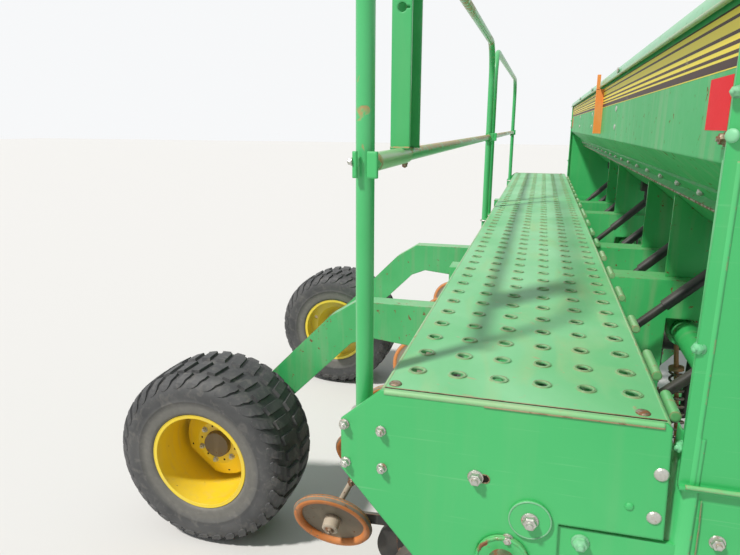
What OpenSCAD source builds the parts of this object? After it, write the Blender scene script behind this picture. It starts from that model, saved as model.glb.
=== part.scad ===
// Seed drill for sowing into unbroken ground, with a loading deck behind its seed box and two
// transport wheels behind the openers. +X points forward to the hitch, +Y left and +Z up.
// The ground is at z = 0. The origin lies under the middle of the machine.
// Places along the machine are given as distances behind the deck's front edge, less than 0 ahead of it.

/* [Rows] */
// Number of openers, which stand in two ranks
rows = 18; // [14:4:22]
// Distance from one row to the next
row_pitch = 254; // [248:1:262]
// Distance from the front rank to the rear rank
rank_gap = 500; // [480:1:520]

/* [Frame] */
// Side of the square tool bars
bar = 127; // [110:1:140]
// Height of the tool bars' middle
bar_z = 860; // [850:1:870]
// Rear tool bar, ahead of the deck's front edge
rear_bar_d = -160; // [-170:1:-150]
// Width of a cross rib
rib_w = 110; // [90:1:120]
// Height of the ribs' top
rib_top = 1330; // [1320:1:1340]
// Depth of the ribs' top beam
rib_h = 125; // [110:1:130]
// Thickness of the frame's side plates
side_t = 10; // [8:1:14]
// Radius of the rockshafts that press the openers down
rock_r = 40; // [35:1:44]
// Height of the rockshafts
rock_z = 1156; // [1150:1:1160]
// How far the rear rockshaft stands out of the end plates
rock_out = 8; // [6:1:12]
// How far the outer ribs reach behind the deck
rib_out = 72; // [60:1:80]

/* [Deck] */
// Height of the deck's top
deck_z = 1410; // [1400:1:1420]
// Width of the deck
deck_w = 405; // [380:1:430]
// Sheet thickness of the deck
deck_t = 3; // [2:0.5:5]
// Radius of a foot-hold hole
grip_r = 10; // [8:0.5:13]
// Distance between columns of holes
grip_x = 65.5; // [60:0.5:67]
// Distance between rows of holes
grip_y = 84.5; // [75:0.5:95]
// Width of the raised lip round a hole
lip_w = 5; // [3:0.5:6]
// Height of the raised lip
lip_h = 1.5; // [1:0.5:2.5]
// Thickness of the end plates and end sheets
end_t = 5; // [4:0.5:8]

/* [Handrails] */
// Radius of the rail's tube
rail_r = 14; // [12:0.5:17]
// Radius of the mid rail's tube
mid_r = 12.7; // [11:0.1:13]
// Height of the top rail above the deck
rail_h = 750; // [700:1:900]
// Height of the mid rail above the deck
mid_h = 335; // [300:1:400]
// Bend radius of the rail
rail_bend = 150; // [100:1:200]
// Distance from the deck's rear edge to the rail
rail_off = 40; // [32:1:50]

/* [Seed box] */
// Fore-and-aft width of the seed box
box_w = 680; // [640:1:720]
// Height of the box's rim
box_top = 1975; // [1950:1:2000]
// Height where the box's walls start to slope in
box_bend = 1755; // [1740:1:1770]
// Height of the box's floor
box_floor = 1530; // [1525:1:1540]
// Width of the box's floor
floor_w = 130; // [120:1:140]
// Sheet thickness of the box and its lids
box_t = 3; // [2:0.5:4]
// Rise of the lids' crown
crown = 70; // [50:1:90]
// Radius of the lids' shoulders
shoulder = 30; // [24:1:32]

/* [Openers] */
// Radius of the opener's disc
disc_r = 229; // [215:1:235]
// Angle of the disc to the row
disc_toe = 7; // [6:0.5:8]
// Radius of the gauge wheel
gauge_r = 203; // [190:1:210]
// Width of the gauge wheel's tyre
gauge_w = 90; // [70:1:100]
// Radius of the seed press wheel
press_r = 100; // [90:1:105]
// Radius of the closing wheel
close_r = 155; // [145:1:160]
// Lean of the closing wheel
close_lean = 24; // [20:0.5:26]
// Width of the opener's arm
arm_w = 40; // [34:1:44]
// Radius of the pivot pins
pin_r = 12; // [10:0.5:14]
// Distance of the down-pressure spring from the row's middle
spring_off = 52; // [50:1:56]
// Outer radius of the down-pressure spring
spring_r = 26; // [22:0.5:26]
// Radius of a seed tube's hose
hose_r = 18; // [16:0.5:20]
// Radius of the pipe below the hose
pipe_r = 13; // [11:0.5:14]

/* [Transport wheels] */
// Outer radius of the tyre
tyre_r = 402; // [390:1:405]
// Width of the tyre
tyre_w = 360; // [335:1:366]
// Radius of the rim's barrel
rim_r = 206; // [200:1:210]
// Distance between the tyres' middles
track = 1800; // [1790:1:1810]
// Wheel axis behind the deck's front edge
wheel_d = 1513; // [1505:1:1530]
// Width of a lift arm
lift_w = 90; // [70:1:94]
// Radius of the lift tube
lift_r = 63.5; // [58:0.5:66]
// Height of the lift tube
lift_z = 900; // [895:1:905]
// Lift tube behind the deck's front edge
lift_d = 330; // [325:1:335]
// Radius of the lift cylinders
ram_r = 45; // [38:1:48]
// Radius of the lift cylinders' rods
rod_r = 20; // [16:0.5:24]

/* [Tongue] */
// Hitch tip ahead of the deck's front edge
hitch_reach = 3307; // [3200:1:3400]
// Height of the hitch
hitch_z = 480; // [470:1:500]
// Radius of the hitch pin's bore
hitch_r = 16.5; // [13:0.5:20]
// Depth of the tongue's beams
tongue_h = 130; // [110:1:140]
// Radius of the jack's outer tube
jack_r = 38; // [34:1:42]

/* [Hidden] */
$fn = 48;

green = [0.05, 0.42, 0.16];
yellow = [0.95, 0.80, 0.05];
black = [0.08, 0.08, 0.08];
rust = [0.50, 0.26, 0.12];
steel = [0.55, 0.55, 0.55];

gap = 0.3;        // left between a piece and its seat
fit = 0.05;       // running clearance of a shaft in its bore
span = rows * row_pitch;
end_y = span / 2 - end_t;       // inner face of the end plates
side_y = end_y - side_t;        // inner face of the side plates
x_deck = (wheel_d + tyre_r - hitch_reach) / 2;
front_bar_d = rear_bar_d - rank_gap;
rib_y = [-4, -2, 2, 4] * row_pitch;
rock_d = [rear_bar_d + 370, front_bar_d + 370];   // rear and front rockshaft
arm_y = (track - tyre_w - lift_w) / 2 - 15;       // middle of a lift arm
ram_y = 3 * row_pitch;                            // middle of a lift cylinder

// The x of a place that is d behind the deck's front edge
function bk(d) = x_deck - d;
// Outline points given as [distance behind the deck's edge, height] as plain [x, z] points
function at(pts) = [for (p = pts) [bk(p[0]), p[1]]];
function row_y(i) = (i - (rows - 1) / 2) * row_pitch;
function unit(v) = v / norm(v);
// The outline p, anticlockwise, moved inwards by t
function inset(p, t) = let (n = len(p)) [
    for (i = [0 : n - 1])
        let (a = unit(p[i] - p[(i + n - 1) % n]), b = unit(p[(i + 1) % n] - p[i]))
        let (m = [-a[1], a[0]], k = [-b[1], b[0]])
        p[i] + t * (m + k) / (1 + m * k)
];

// A flat outline in x and z, drawn w thick about the plane y
module side(y, w) translate([0, y + w / 2, 0]) rotate([90, 0, 0]) linear_extrude(w) children();
// A cylinder along y, from y0 to y1, about a place d behind the deck's edge
module across(d, z, r, y0, y1)
    translate([bk(d), y0, z]) rotate([-90, 0, 0]) cylinder(r = r, h = y1 - y0);
// A flat outline that runs along z between two places in a plane y
module rod_between(a, b, r) {
    v = b - a;
    translate(a) rotate([0, acos(v[2] / norm(v)), atan2(v[1], v[0])]) cylinder(r = r, h = norm(v));
}
module both_sides() { children(); mirror([0, 1, 0]) children(); }

// Frame
module tool_bar(d) side(0, 2 * side_y) difference() {
    translate([bk(d) - bar / 2, bar_z - bar / 2]) square(bar);
    translate([bk(d) - bar / 2 + 8, bar_z - bar / 2 + 8]) square(bar - 16);
}
ram_base = [front_bar_d + 60, 1040];
ram_pin_r = 16;
module front_bar() color(green) {
    tool_bar(front_bar_d);
    both_sides() {
        for (s = [-1, 1]) side(ram_y + s * 24, 12) union() {
            polygon(at([[front_bar_d - 60, bar_z + bar / 2 - 1], [front_bar_d + 63, bar_z + bar / 2 - 1],
                [ram_base[0] + 32, ram_base[1]], [ram_base[0] - 32, ram_base[1]]]));
            translate([bk(ram_base[0]), ram_base[1]]) circle(32);
        }
        across(ram_base[0], ram_base[1], ram_pin_r, ram_y - 31, ram_y + 31);
    }
}
module rear_bar() color(green) tool_bar(rear_bar_d);

rib_rear = deck_w - 10;
module frame_ribs() color(green) for (y = rib_y) difference() {
    union() {
        side(y, rib_w) polygon(at([[front_bar_d - 63, rib_top], [front_bar_d - 63, rib_top - rib_h],
            [rib_rear, rib_top - rib_h], [rib_rear, rib_top]]));
        for (d = [front_bar_d, rear_bar_d]) side(y, rib_w)
            translate([bk(d) - bar / 2, bar_z + bar / 2])
                square([bar, rib_top - rib_h - bar_z - bar / 2 + 1]);
        if (abs(y) > 3 * row_pitch) side(y, rib_w - 20)
            polygon(at([[rib_rear - 1, rib_top - 6], [rib_rear - 1, rib_top - rib_h + 6],
                [deck_w + rib_out, rib_top - rib_h + 30], [deck_w + rib_out, rib_top - 6]]));
        side(y, 40) union() {
            polygon(at([[rock_d[0] + rock_r + 15, rib_top - rib_h + 1], [lift_d - 95, lift_z],
                [lift_d + 95, lift_z], [rib_rear, rib_top - rib_h + 1]]));
            translate([bk(lift_d), lift_z]) circle(95);
        }
        for (d = rock_d) side(y, 24)
            translate([bk(d) - rock_r - 14, rock_z - 10])
                square([2 * rock_r + 28, rib_top - rib_h - rock_z + 11]);
        for (d = rock_d) across(d, rock_z, rock_r + 14, y - 12, y + 12);
    }
    across(lift_d, lift_z, lift_r + fit, y - 30, y + 30);
    for (d = rock_d) across(d, rock_z, rock_r + gap, y - 30, y + 30);
}

plate_low = bar_z - bar / 2 - 16;
plate_top = rock_z + rock_r + 28;
module side_plates() color(green) for (s = [-1, 1]) difference() {
    side(s * (side_y + side_t / 2), side_t) polygon(at([
        [front_bar_d - 90, plate_low], [front_bar_d - 90, plate_top - 24], [front_bar_d - 40, plate_top],
        [rock_d[0] + rock_r, plate_top], [rock_d[0] + 2 * rock_r + 10, rock_z], [rear_bar_d + 220, plate_low]]));
    for (d = rock_d) across(d, rock_z, rock_r + gap, s * end_y - 30, s * end_y + 30);
}

module rockshafts() color(green) {
    across(rock_d[0], rock_z, rock_r, -span / 2 - rock_out, span / 2 + rock_out);
    across(rock_d[0], rock_z, rock_r / 2, -span / 2 - rock_out - 16, span / 2 + rock_out + 16);
    across(rock_d[1], rock_z, rock_r, -end_y + 2, end_y - 2);
    for (i = [0 : rows - 1]) let (d = rock_d[i % 2])
        side(row_y(i) + (i < rows / 2 ? -1 : 1) * spring_off, 16)
            polygon(at([[d - 25, rock_z], [d + 25, rock_z], [d + 8, rod_top_z], [d - 20, rod_top_z]]));
}

// Deck
grips = floor((span - 160) / grip_y);
module grip_places() for (i = [0 : 5], j = [0 : grips])
    translate([bk(deck_w / 2 + (i - 2.5) * grip_x), (j - grips / 2) * grip_y]) children();
module deck() color(green) {
    translate([0, 0, deck_z - deck_t]) linear_extrude(deck_t) difference() {
        translate([bk(deck_w), -end_y]) square([deck_w, 2 * end_y]);
        grip_places() circle(grip_r);
    }
    translate([0, 0, deck_z - 1]) linear_extrude(1 + lip_h) difference() {
        grip_places() circle(grip_r + lip_w);
        grip_places() circle(grip_r);
    }
    for (d = [deck_t, deck_w])
        translate([bk(d), -end_y, rib_top]) cube([deck_t, 2 * end_y, deck_z - rib_top - 1]);
}
module deck_ends() color(green) for (s = [-1, 1]) difference() {
    side(s * (end_y + end_t / 2), end_t) polygon(at([[-2, deck_z - 6], [4, deck_z], [deck_w, deck_z],
        [deck_w + 64, deck_z - 56], [deck_w + 64, deck_z - 142], [307, deck_z - 330], [129, deck_z - 330],
        [133, deck_z - 180], [-9, deck_z - 178]]));
    across(rock_d[0], rock_z, rock_r + gap, s * end_y - 30, s * end_y + 30);
}

// Handrails. A loop stands from y0 to y1 behind the deck
rail_d = deck_w + rail_off;
rail_z = deck_z + rail_h;
mid_z = deck_z + mid_h;
rail_foot = rib_top - 60;
foot_z = rib_top + 8;
module rail_loop(y0, y1) {
    for (y = [y0, y1]) {
        translate([bk(rail_d), y, rail_foot]) cylinder(r = rail_r, h = rail_z - rail_bend - rail_foot);
        translate([bk(rail_d), y - 20, foot_z]) cube([rail_off - gap, 40, 20]);
    }
    for (e = [[y0, 90, 1], [y1, 0, -1]])
        translate([bk(rail_d), e[0] + e[2] * rail_bend, rail_z - rail_bend])
            rotate([0, -90, 180]) rotate([0, 0, e[1] - 90])
                rotate_extrude(angle = 90) translate([rail_bend, 0]) circle(rail_r);
    across(rail_d, rail_z, rail_r, y0 + rail_bend, y1 - rail_bend);
    across(rail_d, mid_z, mid_r, y0, y1);
}
module handrail_right() color(green) rail_loop(-span / 2 + 50, -95);
module handrail_left() color(green) rail_loop(95, span / 2 - 50);

channel_y = -span / 2 + 328;
channel_w = 95;
channel_t = 5;
key_z = deck_z + 588;
module rail_channel() color(green) difference() {
    translate([bk(rail_d), channel_y, mid_z + mid_r + gap])
        linear_extrude(rail_z - rail_r - mid_z - mid_r - 2 * gap) difference() {
            square([36, channel_w], center = true);
            translate([channel_t, 0]) square([36, channel_w - 2 * channel_t], center = true);
        }
    side(channel_y - channel_w / 2, 4 * channel_t) translate([bk(rail_d), key_z]) union() {
        circle(8);
        translate([0, -2]) square([14, 4]);
    }
}

module ladder() color(green) {
    for (d = [60, 340]) translate([bk(d) - 20, span / 2 + gap, 420]) cube([40, 40, 960]);
    for (z = [450, 730, 1010]) translate([bk(341), span / 2 + gap, z]) cube([282, 40, 30]);
}

// Seed box
box_d = -25;
function box_section(top) = let (m = box_d - box_w / 2) at([
    [box_d, top], [box_d, box_bend], [m + floor_w / 2, box_floor], [m - floor_w / 2, box_floor],
    [box_d - box_w, box_bend], [box_d - box_w, top]
]);
hinge = [box_d - box_w - 30, box_top - 35];
wall = 5;         // half the thickness of the box's middle wall
hinge_y = [140, 780, 1500, 2140];
lug_w = 24;
// The rails that stiffen the sloping walls, placed t down the slope from the bend and h out of it
slope = unit([floor_w / 2 - box_w / 2, box_floor - box_bend]);
function on_slope(t, h, s) =
    let (p = [-box_w / 2, box_bend] - t * [slope[0], -slope[1]] + h * [slope[1], slope[0]])
    [bk(box_d - box_w / 2) + s * p[0], p[1]];
rail_t = [97, 150];
module seed_box() color(green) {
    for (s = [-1, 1]) side(0, 2 * end_y) polygon([for (p = [[rail_t[0], -1], [rail_t[0], 5],
        [rail_t[1] - 5, 5], [rail_t[1] - 5, 20], [rail_t[1], 20], [rail_t[1], -1]]) on_slope(p[0], p[1], s)]);
    difference() {
        side(0, 2 * end_y) polygon(box_section(box_top));
        for (s = [-1, 1]) side(s * (end_y - box_t + wall) / 2, end_y - box_t - wall)
            polygon(inset(box_section(box_top + 40), box_t));
    }
    both_sides() for (y = hinge_y) {
        for (s = [-1, 1]) side(y + s * (lug_w + 1), lug_w) union() {
            polygon(at([[hinge[0] + 31, hinge[1] - 5], [hinge[0] + 31, hinge[1] - 30],
                [hinge[0], hinge[1] - 9], [hinge[0], hinge[1] + 2]]));
            translate([bk(hinge[0]), hinge[1]]) circle(9);
        }
        across(hinge[0], hinge[1], 5, y - 1.5 * lug_w, y + 1.5 * lug_w);
    }
}
lid_in = 2;       // half the gap between the lids
lid_over = 10;    // clearance from the lid's lip to the box
lid_end = end_y + end_t + 9;                      // outer face of the lid's end lip
lid_half = box_w / 2 + lid_over + box_t;
lid_z = box_top + 3;
crown_r = (lid_half * lid_half + crown * crown) / (2 * crown);
lid_mid = bk(box_d - box_w / 2);
crown_z = lid_z + crown - crown_r;                // middle of the crown's arc
turn_x = lid_half - shoulder;                     // middle of a shoulder, from the lid's middle
turn_z = crown_z + sqrt(pow(crown_r - shoulder, 2) - pow(turn_x, 2));
lid_low = lid_z - 30;
// The lid's outline, moved in by t
module lid_arc(t) translate([lid_mid, 0]) {
    intersection() {
        translate([0, crown_z]) circle(crown_r - t, $fn = 96);
        translate([0, turn_z]) polygon([[0, 0], [-turn_x, 0], [-1.2 * turn_x, 1.2 * (crown_r - shoulder)],
            [1.2 * turn_x, 1.2 * (crown_r - shoulder)], [turn_x, 0]]);
    }
    for (s = [-1, 1]) translate([s * turn_x, turn_z]) intersection() {
        circle(shoulder - t);
        translate([-shoulder, 0]) square([2 * shoulder, shoulder]);
    }
    translate([-turn_x, lid_low]) square([2 * turn_x, crown_z + crown_r - 60 - lid_low]);
    translate([t - lid_half, lid_low]) square([2 * (lid_half - t), turn_z - lid_low]);
}
module lid() {
    long = lid_end - lid_in;
    side(lid_in + long / 2, long) difference() {
        lid_arc(0);
        lid_arc(box_t);
        translate([lid_mid - lid_half + box_t, lid_low - 1]) square([2 * (lid_half - box_t), 2]);
    }
    side(lid_in + 2, 4) difference() {
        lid_arc(1);
        translate([lid_mid - lid_half, lid_low - 1]) square([2 * lid_half, box_top + gap - lid_low + 1]);
    }
    side(lid_end - box_t / 2, box_t) lid_arc(0);
    for (y = hinge_y) difference() {
        side(y, lug_w) union() {
            polygon(at([[hinge[0] + 18, hinge[1] + 16], [hinge[0] + 18, lid_low], [hinge[0] + 8, hinge[1] - 4],
                [hinge[0] - 8, hinge[1] + 4]]));
            translate([bk(hinge[0]), hinge[1]]) circle(9);
        }
        across(hinge[0], hinge[1], 5 + fit, y - lug_w, y + lug_w);
    }
}
module lid_left() color(green) lid();
module lid_right() color(green) mirror([0, 1, 0]) lid();

sheet_d = [-17, box_d - box_w - 8];               // rear and front edges
sheet_top = box_top - 14;
seam_z = deck_z - 87;
low_z = rock_z - 96;
module box_end_sheets() color(green) for (s = [-1, 1]) {
    side(s * (end_y + end_t / 2), end_t) polygon(at([[sheet_d[0], seam_z], [sheet_d[0], sheet_top],
        [sheet_d[1], sheet_top], [sheet_d[1], seam_z]]));
    side(s * (end_y + (end_t - 2) / 2), end_t - 2) polygon(at([[sheet_d[0] - 26, low_z],
        [sheet_d[0] - 26, seam_z + 1], [sheet_d[1], seam_z + 1], [sheet_d[1], low_z + 100],
        [sheet_d[1] + 73, low_z]]));
    side(s * (end_y + end_t / 2 + 4), end_t + 8)
        translate([bk(sheet_d[0]), seam_z - 4]) square([box_w - 20, 6]);
}

saddle_in = 190;  // from the box's faces to a saddle's edges
module box_saddles() color(green) for (y = rib_y) side(y, 12) difference() {
    translate([bk(box_d - saddle_in), rib_top]) square([box_w - 2 * saddle_in, box_floor + 60 - rib_top]);
    polygon(inset(box_section(box_top), -gap));
    translate([bk(meter_d), shaft_z]) circle(20);
}

// Seed metering
meter_d = box_d - box_w / 2;
meter_z = box_floor - 80;
shaft_z = box_floor - 35;
module seed_meters() color(black) for (i = [0 : rows - 1]) difference() {
    union() {
        side(row_y(i), 60) translate([bk(meter_d) - 45, meter_z + 20]) square([90, 60 - gap]);
        translate([bk(meter_d), row_y(i), meter_z]) cylinder(r = 26, h = 22);
    }
    across(meter_d, shaft_z, 11 + gap, row_y(i) - 40, row_y(i) + 40);
}
module meter_shaft() color(steel) across(meter_d, shaft_z, 11, -side_y + 1, side_y - 1);

// Openers. Every opener is drawn about its pivot, with the machine's right side's hand
pivot = [60, bar_z - bar / 2 - 36];               // behind the tool bar's middle, and height
disc_at = [-440, disc_r + 141];                   // x from the pivot, and height
gauge_at = disc_at + [-30, gauge_r + 50 - disc_r];
arm_end = disc_at[0] - 56;
boot_at = [arm_end - 54, 600];
press_at = [boot_at[0] - 50 - press_r, press_r + 145];
close_at = [-965, close_r + 185];
close_off = 31;                  // from the tail arm's middle to the closing wheel's
tail_t = 14;
tail_y = -(arm_w + tail_t) / 2 - gap;
rod_top_z = rock_z - 56;
arm_side = arm_w / 2;
disc_y = 46;
// $front is 1 in the front rank
module at_openers() for (i = [0 : rows - 1]) let ($front = i % 2)
    translate([bk((i % 2 == 0 ? rear_bar_d : front_bar_d) + pivot[0]), row_y(i), 0])
        mirror([0, i < rows / 2 ? 0 : 1, 0]) children();
// A cylinder along y about a place [x, z] by the opener
module hub(p, r, y0, y1) translate([p[0], y0, p[1]]) rotate([-90, 0, 0]) cylinder(r = r, h = y1 - y0);
module toed() translate([disc_at[0], disc_y, disc_at[1]]) rotate([0, 0, disc_toe]) children();
// The closing wheels of the rear rank stand outboard of their arms, those of the front rank inboard
module leaned() translate([close_at[0], tail_y, close_at[1]]) mirror([0, $front, 0])
    translate([0, -close_off, 0]) rotate([close_lean, 0, 0]) children();

module opener_brackets() color(green) at_openers() {
    for (s = [-1, 1]) side(s * (arm_side + 6), 8) union() {
        polygon([[60, bar_z - bar / 2], [-45, bar_z - bar / 2], [-28, pivot[1]], [28, pivot[1]]]);
        translate([0, pivot[1]]) circle(28);
    }
    hub([0, pivot[1]], pin_r, -arm_side - 10, arm_side + 10);
}
gauge_pivot = [-230, pivot[1] - 185];
module opener_arms() color(green) at_openers() {
    difference() {
        side(0, arm_w) union() {
            polygon([[-18, pivot[1] + 30], [-26, pivot[1] - 24], [disc_at[0] + 60, disc_at[1] - 55],
                [arm_end, disc_at[1] - 40], [arm_end, disc_at[1] + 70], [disc_at[0] + 60, disc_at[1] + 90]]);
            translate([0, pivot[1]]) circle(30);
        }
        hub([0, pivot[1]], pin_r + gap, -arm_w, arm_w);
    }
    intersection() {
        toed() hub([0, 0], 16, -60, -8 - gap);
        hub(disc_at, 90, 0, 60);
    }
    hub(gauge_pivot, 16, 0, 180);
    side(-(arm_side + spring_off + 16) / 2 + 1, spring_off + 18 - arm_side)
        translate([rod_low[0] - 25, rod_low[1] - gap - 31]) square([50, 30]);
    side(173, 12) union() {
        polygon([gauge_pivot + [0, 22], gauge_pivot - [0, 22], gauge_at - [0, 22], gauge_at + [0, 22]]);
        translate(gauge_at) circle(22);
        translate(gauge_pivot) circle(22);
    }
    hub(gauge_at, 14, 120, 171);
}
module opener_discs() color(rust) at_openers() toed() {
    hub([0, 0], disc_r, -2.5, 2.5);
    hub([0, 0], 50, -8, 10);
}
module seed_boots() color(green) at_openers() side(0, 30) polygon([[boot_at[0] - 26, boot_at[1]],
    [boot_at[0] + 26, boot_at[1]], [arm_end - gap, 470], [arm_end - gap, 330], [boot_at[0] + 25, 190],
    [boot_at[0] - 30, 215], [boot_at[0] - 38, 420]]);
rim_w = gauge_w - 20;
module gauge_rims() color(yellow) at_openers() translate([gauge_at[0], 0, gauge_at[1]]) rotate([-90, 0, 0])
    rotate_extrude() polygon([[14 + gap, 100], [40, 100], [40, 112], [110, 112], [110, 120 - rim_w / 2],
        [122, 120 - rim_w / 2], [122, 120 + rim_w / 2], [110, 120 + rim_w / 2], [110, 124], [40, 124],
        [40, 140], [14 + gap, 140]]);
module gauge_tyres() color(black) at_openers() translate([gauge_at[0], 0, gauge_at[1]]) rotate([-90, 0, 0])
    rotate_extrude($fn = 20) let (m = 120, h = gauge_w / 2) polygon([[122 + gap, m - h + 8],
        [gauge_r - 14, m - h], [gauge_r, m - h + 14], [gauge_r, m + h - 14], [gauge_r - 14, m + h],
        [122 + gap, m + h - 8]]);
module tail_arms() color(black) at_openers() {
    side(tail_y, tail_t) union() {
        polygon([[disc_at[0] + 30, disc_at[1] + 40], [disc_at[0] + 30, disc_at[1] - 10],
            close_at - [0, 10], close_at + [0, 28]]);
        polygon([[press_at[0] + 25, 350], [press_at[0] - 25, 345], press_at - [16, 0], press_at + [16, 0]]);
        translate(close_at + [0, 12]) circle(24);
        translate(press_at) circle(18);
    }
    hub(press_at, 9, tail_y, -13 - gap);
    leaned() hub([0, 0], 12, 14 + gap, close_off / cos(close_lean));
}
module press_wheels() color(black) at_openers() hub(press_at, press_r, -13, 13);
// A dished wheel with a thick rim, whose hub stands out of the dish
module closing_wheels() color(rust) at_openers() leaned() rotate([-90, 0, 0]) rotate_extrude() polygon([
    [0, 14], [36, 14], [close_r - 36, 11], [close_r - 16, 14], [close_r - 4, 9], [close_r, 1], [close_r, -5],
    [close_r - 5, -12], [close_r - 13, -13], [close_r - 19, -8], [close_r - 24, 1], [close_r - 38, 5],
    [31, 7], [30, -34], [15, -36], [14, -46], [0, -46]]);

rod_low = [-250, 586 + gap];
rod_high = [-(370 - pivot[0]), rod_top_z - gap - 1];
function rod_point(t) = let (p = rod_low + (rod_high - rod_low) * t) [p[0], -spring_off, p[1]];
module spring_rods() color(rust) at_openers() {
    rod_between(rod_point(0), rod_point(1), 8);
    for (t = [0.2, 0.78]) rod_between(rod_point(t), rod_point(t + 0.02), spring_r - 1);
}
coils = 9;
spring_t = [0.2206, 0.7794];     // the spring's ends, as shares of the rod
module down_springs() color(black) at_openers()
    let (a = rod_point(spring_t[0]), v = rod_point(spring_t[1]) - a)
    translate(a) rotate([0, acos(v[2] / norm(v)), atan2(v[1], v[0])]) rotate_extrude()
        polygon(concat([[spring_r - 9, 0]],
            [for (k = [0 : coils - 1], e = [[0.02, 6], [0.25, 0], [0.75, 0], [0.98, 6]])
                [spring_r - e[1], (k + e[0]) * norm(v) / coils]],
            [[spring_r - 9, norm(v)]]));

hose_end_z = 1265;               // where the hose ends on its pipe
function rank_d(i) = i % 2 == 0 ? rear_bar_d : front_bar_d;
// A hose down to hose_end_z and its pipe from there on, between two places
module run_down(a, b) let (m = a + (b - a) * (a[2] - hose_end_z) / (a[2] - b[2])) {
    rod_between(a, m, hose_r);
    rod_between(m - 20 * unit(b - a), b, pipe_r);
}
module seed_tubes() color(black) for (i = [0 : rows - 1]) {
    top = [bk(meter_d), row_y(i), meter_z - gap];
    low = [bk(rank_d(i) + pivot[0] - boot_at[0]), row_y(i), boot_at[1] + gap];
    translate(top - [0, 0, 45]) cylinder(r = 25, h = 45);
    translate(low) cylinder(r = 22, h = 70);
    if (i % 2 == 0) run_down(top - [0, 0, 25], low + [0, 0, 40]);
    else {
        knee = [bk(front_bar_d + 305), row_y(i), bar_z - 60];
        run_down(top - [0, 0, 25], knee);
        rod_between(knee, low + [0, 0, 40], pipe_r);
        translate(knee) sphere(r = pipe_r + 2);
    }
}

// Tongue and jack
tongue_d = front_bar_d - bar / 2;
tip_d = -(hitch_reach - 250);
jack_d = tip_d + 450;
tongue_y = 3 * row_pitch;        // half the tongue's width at the front bar
window_y = tongue_y - 118;       // and that of the opening between its beams
tip_y = 60;
module tongue() color(green) difference() {
    intersection() {
        translate([0, 0, hitch_z - 2 * tongue_h]) linear_extrude(bar_z) difference() {
            polygon([[bk(tongue_d), -tongue_y], [bk(tip_d), -tip_y], [bk(tip_d), tip_y],
                [bk(tongue_d), tongue_y]]);
            polygon([[bk(tongue_d) - 5, -window_y], [bk(jack_d + 120), 0], [bk(tongue_d) - 5, window_y]]);
        }
        side(0, 3 * tongue_y) polygon([[bk(tongue_d), bar_z - bar / 2], [bk(tongue_d), bar_z + bar / 2],
            [bk(tip_d), hitch_z + tongue_h / 2], [bk(tip_d), hitch_z - tongue_h / 2]]);
    }
    translate([bk(jack_d), 0, 100]) cylinder(r = jack_r + gap, h = 900);
}
clevis_t = 25;
clevis_r = 55;
module hitch_clevis() color(steel) difference() {
    union() {
        translate([bk(tip_d), -tip_y, hitch_z - tongue_h / 2]) cube([40, 2 * tip_y, tongue_h]);
        for (z = [hitch_z - tongue_h / 2, hitch_z + tongue_h / 2 - clevis_t])
            translate([0, 0, z]) linear_extrude(clevis_t) union() {
                translate([bk(tip_d) + 30, -clevis_r]) square([165, 2 * clevis_r]);
                translate([bk(-hitch_reach) - clevis_r, 0]) circle(clevis_r);
            }
    }
    translate([bk(-hitch_reach) - clevis_r, 0, hitch_z - tongue_h]) cylinder(r = hitch_r, h = 2 * tongue_h);
}
leg_r = jack_r - 6;
module jack_tube() color(black) {
    difference() {
        translate([bk(jack_d), 0, 330]) cylinder(r = jack_r, h = 580);
        translate([bk(jack_d), 0, 320]) cylinder(r = leg_r + fit, h = 540);
    }
    translate([bk(jack_d), 0, 905]) cylinder(r = jack_r + 6, h = 40);
    across(jack_d, 925, 10, 30, 110);
    translate([bk(jack_d), 105, 925]) rotate([0, 90, 0]) cylinder(r = 8, h = 150);
    translate([bk(jack_d) + 142, 105, 925]) rotate([-90, 0, 0]) cylinder(r = 9, h = 90);
}
module jack_leg() color(steel) {
    translate([bk(jack_d), 0, 5]) cylinder(r = leg_r, h = 535);
    linear_extrude(12) translate([bk(jack_d), 0]) square([180, 200], center = true);
}

// Lift frame and transport wheels
ram_lug = [lift_d - 15, lift_z + 150];
module lift_frame() color(green) {
    across(lift_d, lift_z, lift_r, -rib_y[3] - 55, rib_y[3] + 55);
    both_sides() {
        side(arm_y, lift_w) union() {
            polygon(at([[lift_d - 70, lift_z - 35], [lift_d - 75, lift_z + 25], [lift_d + 90, lift_z + 165],
                [920, 1062], [1045, 982], [wheel_d + 55, 445], [wheel_d - 40, 335], [945, 869], [860, 904],
                [lift_d + 60, lift_z - 45]]));
            translate([bk(lift_d), lift_z]) circle(80);
            translate([bk(wheel_d), tyre_r]) circle(74);
        }
        for (s = [-1, 1]) side(ram_y + s * 24, 12) union() {
            polygon(at([[lift_d - 60, lift_z], [lift_d + 60, lift_z], [ram_lug[0] + 32, ram_lug[1]],
                [ram_lug[0] - 32, ram_lug[1]]]));
            translate([bk(ram_lug[0]), ram_lug[1]]) circle(32);
        }
        across(ram_lug[0], ram_lug[1], ram_pin_r, ram_y - 31, ram_y + 31);
    }
}
spindle_r = 28;
arm_out = arm_y + lift_w / 2;
hub_in = arm_out + 30;
module wheel_spindles() color(steel) both_sides() {
    across(wheel_d, tyre_r, 60, arm_out, arm_out + 12);
    across(wheel_d, tyre_r, spindle_r, arm_out + 11, arm_out + 155);
}
module wheel_turn(s) mirror([0, s > 0 ? 0 : 1, 0]) translate([bk(wheel_d), 0, tyre_r])
    rotate([-90, 0, 0]) children();
disc_in = hub_in + 115;          // inner face of the wheel's disc
cap_r = 55;                      // hub cap, which fills the disc's hole
plate_r = 115;                   // the disc's raised middle, with three flats
plate_turn = 69;                 // where one of the flats looks
dish = 44;                       // how far the disc's middle stands out of its rim
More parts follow.
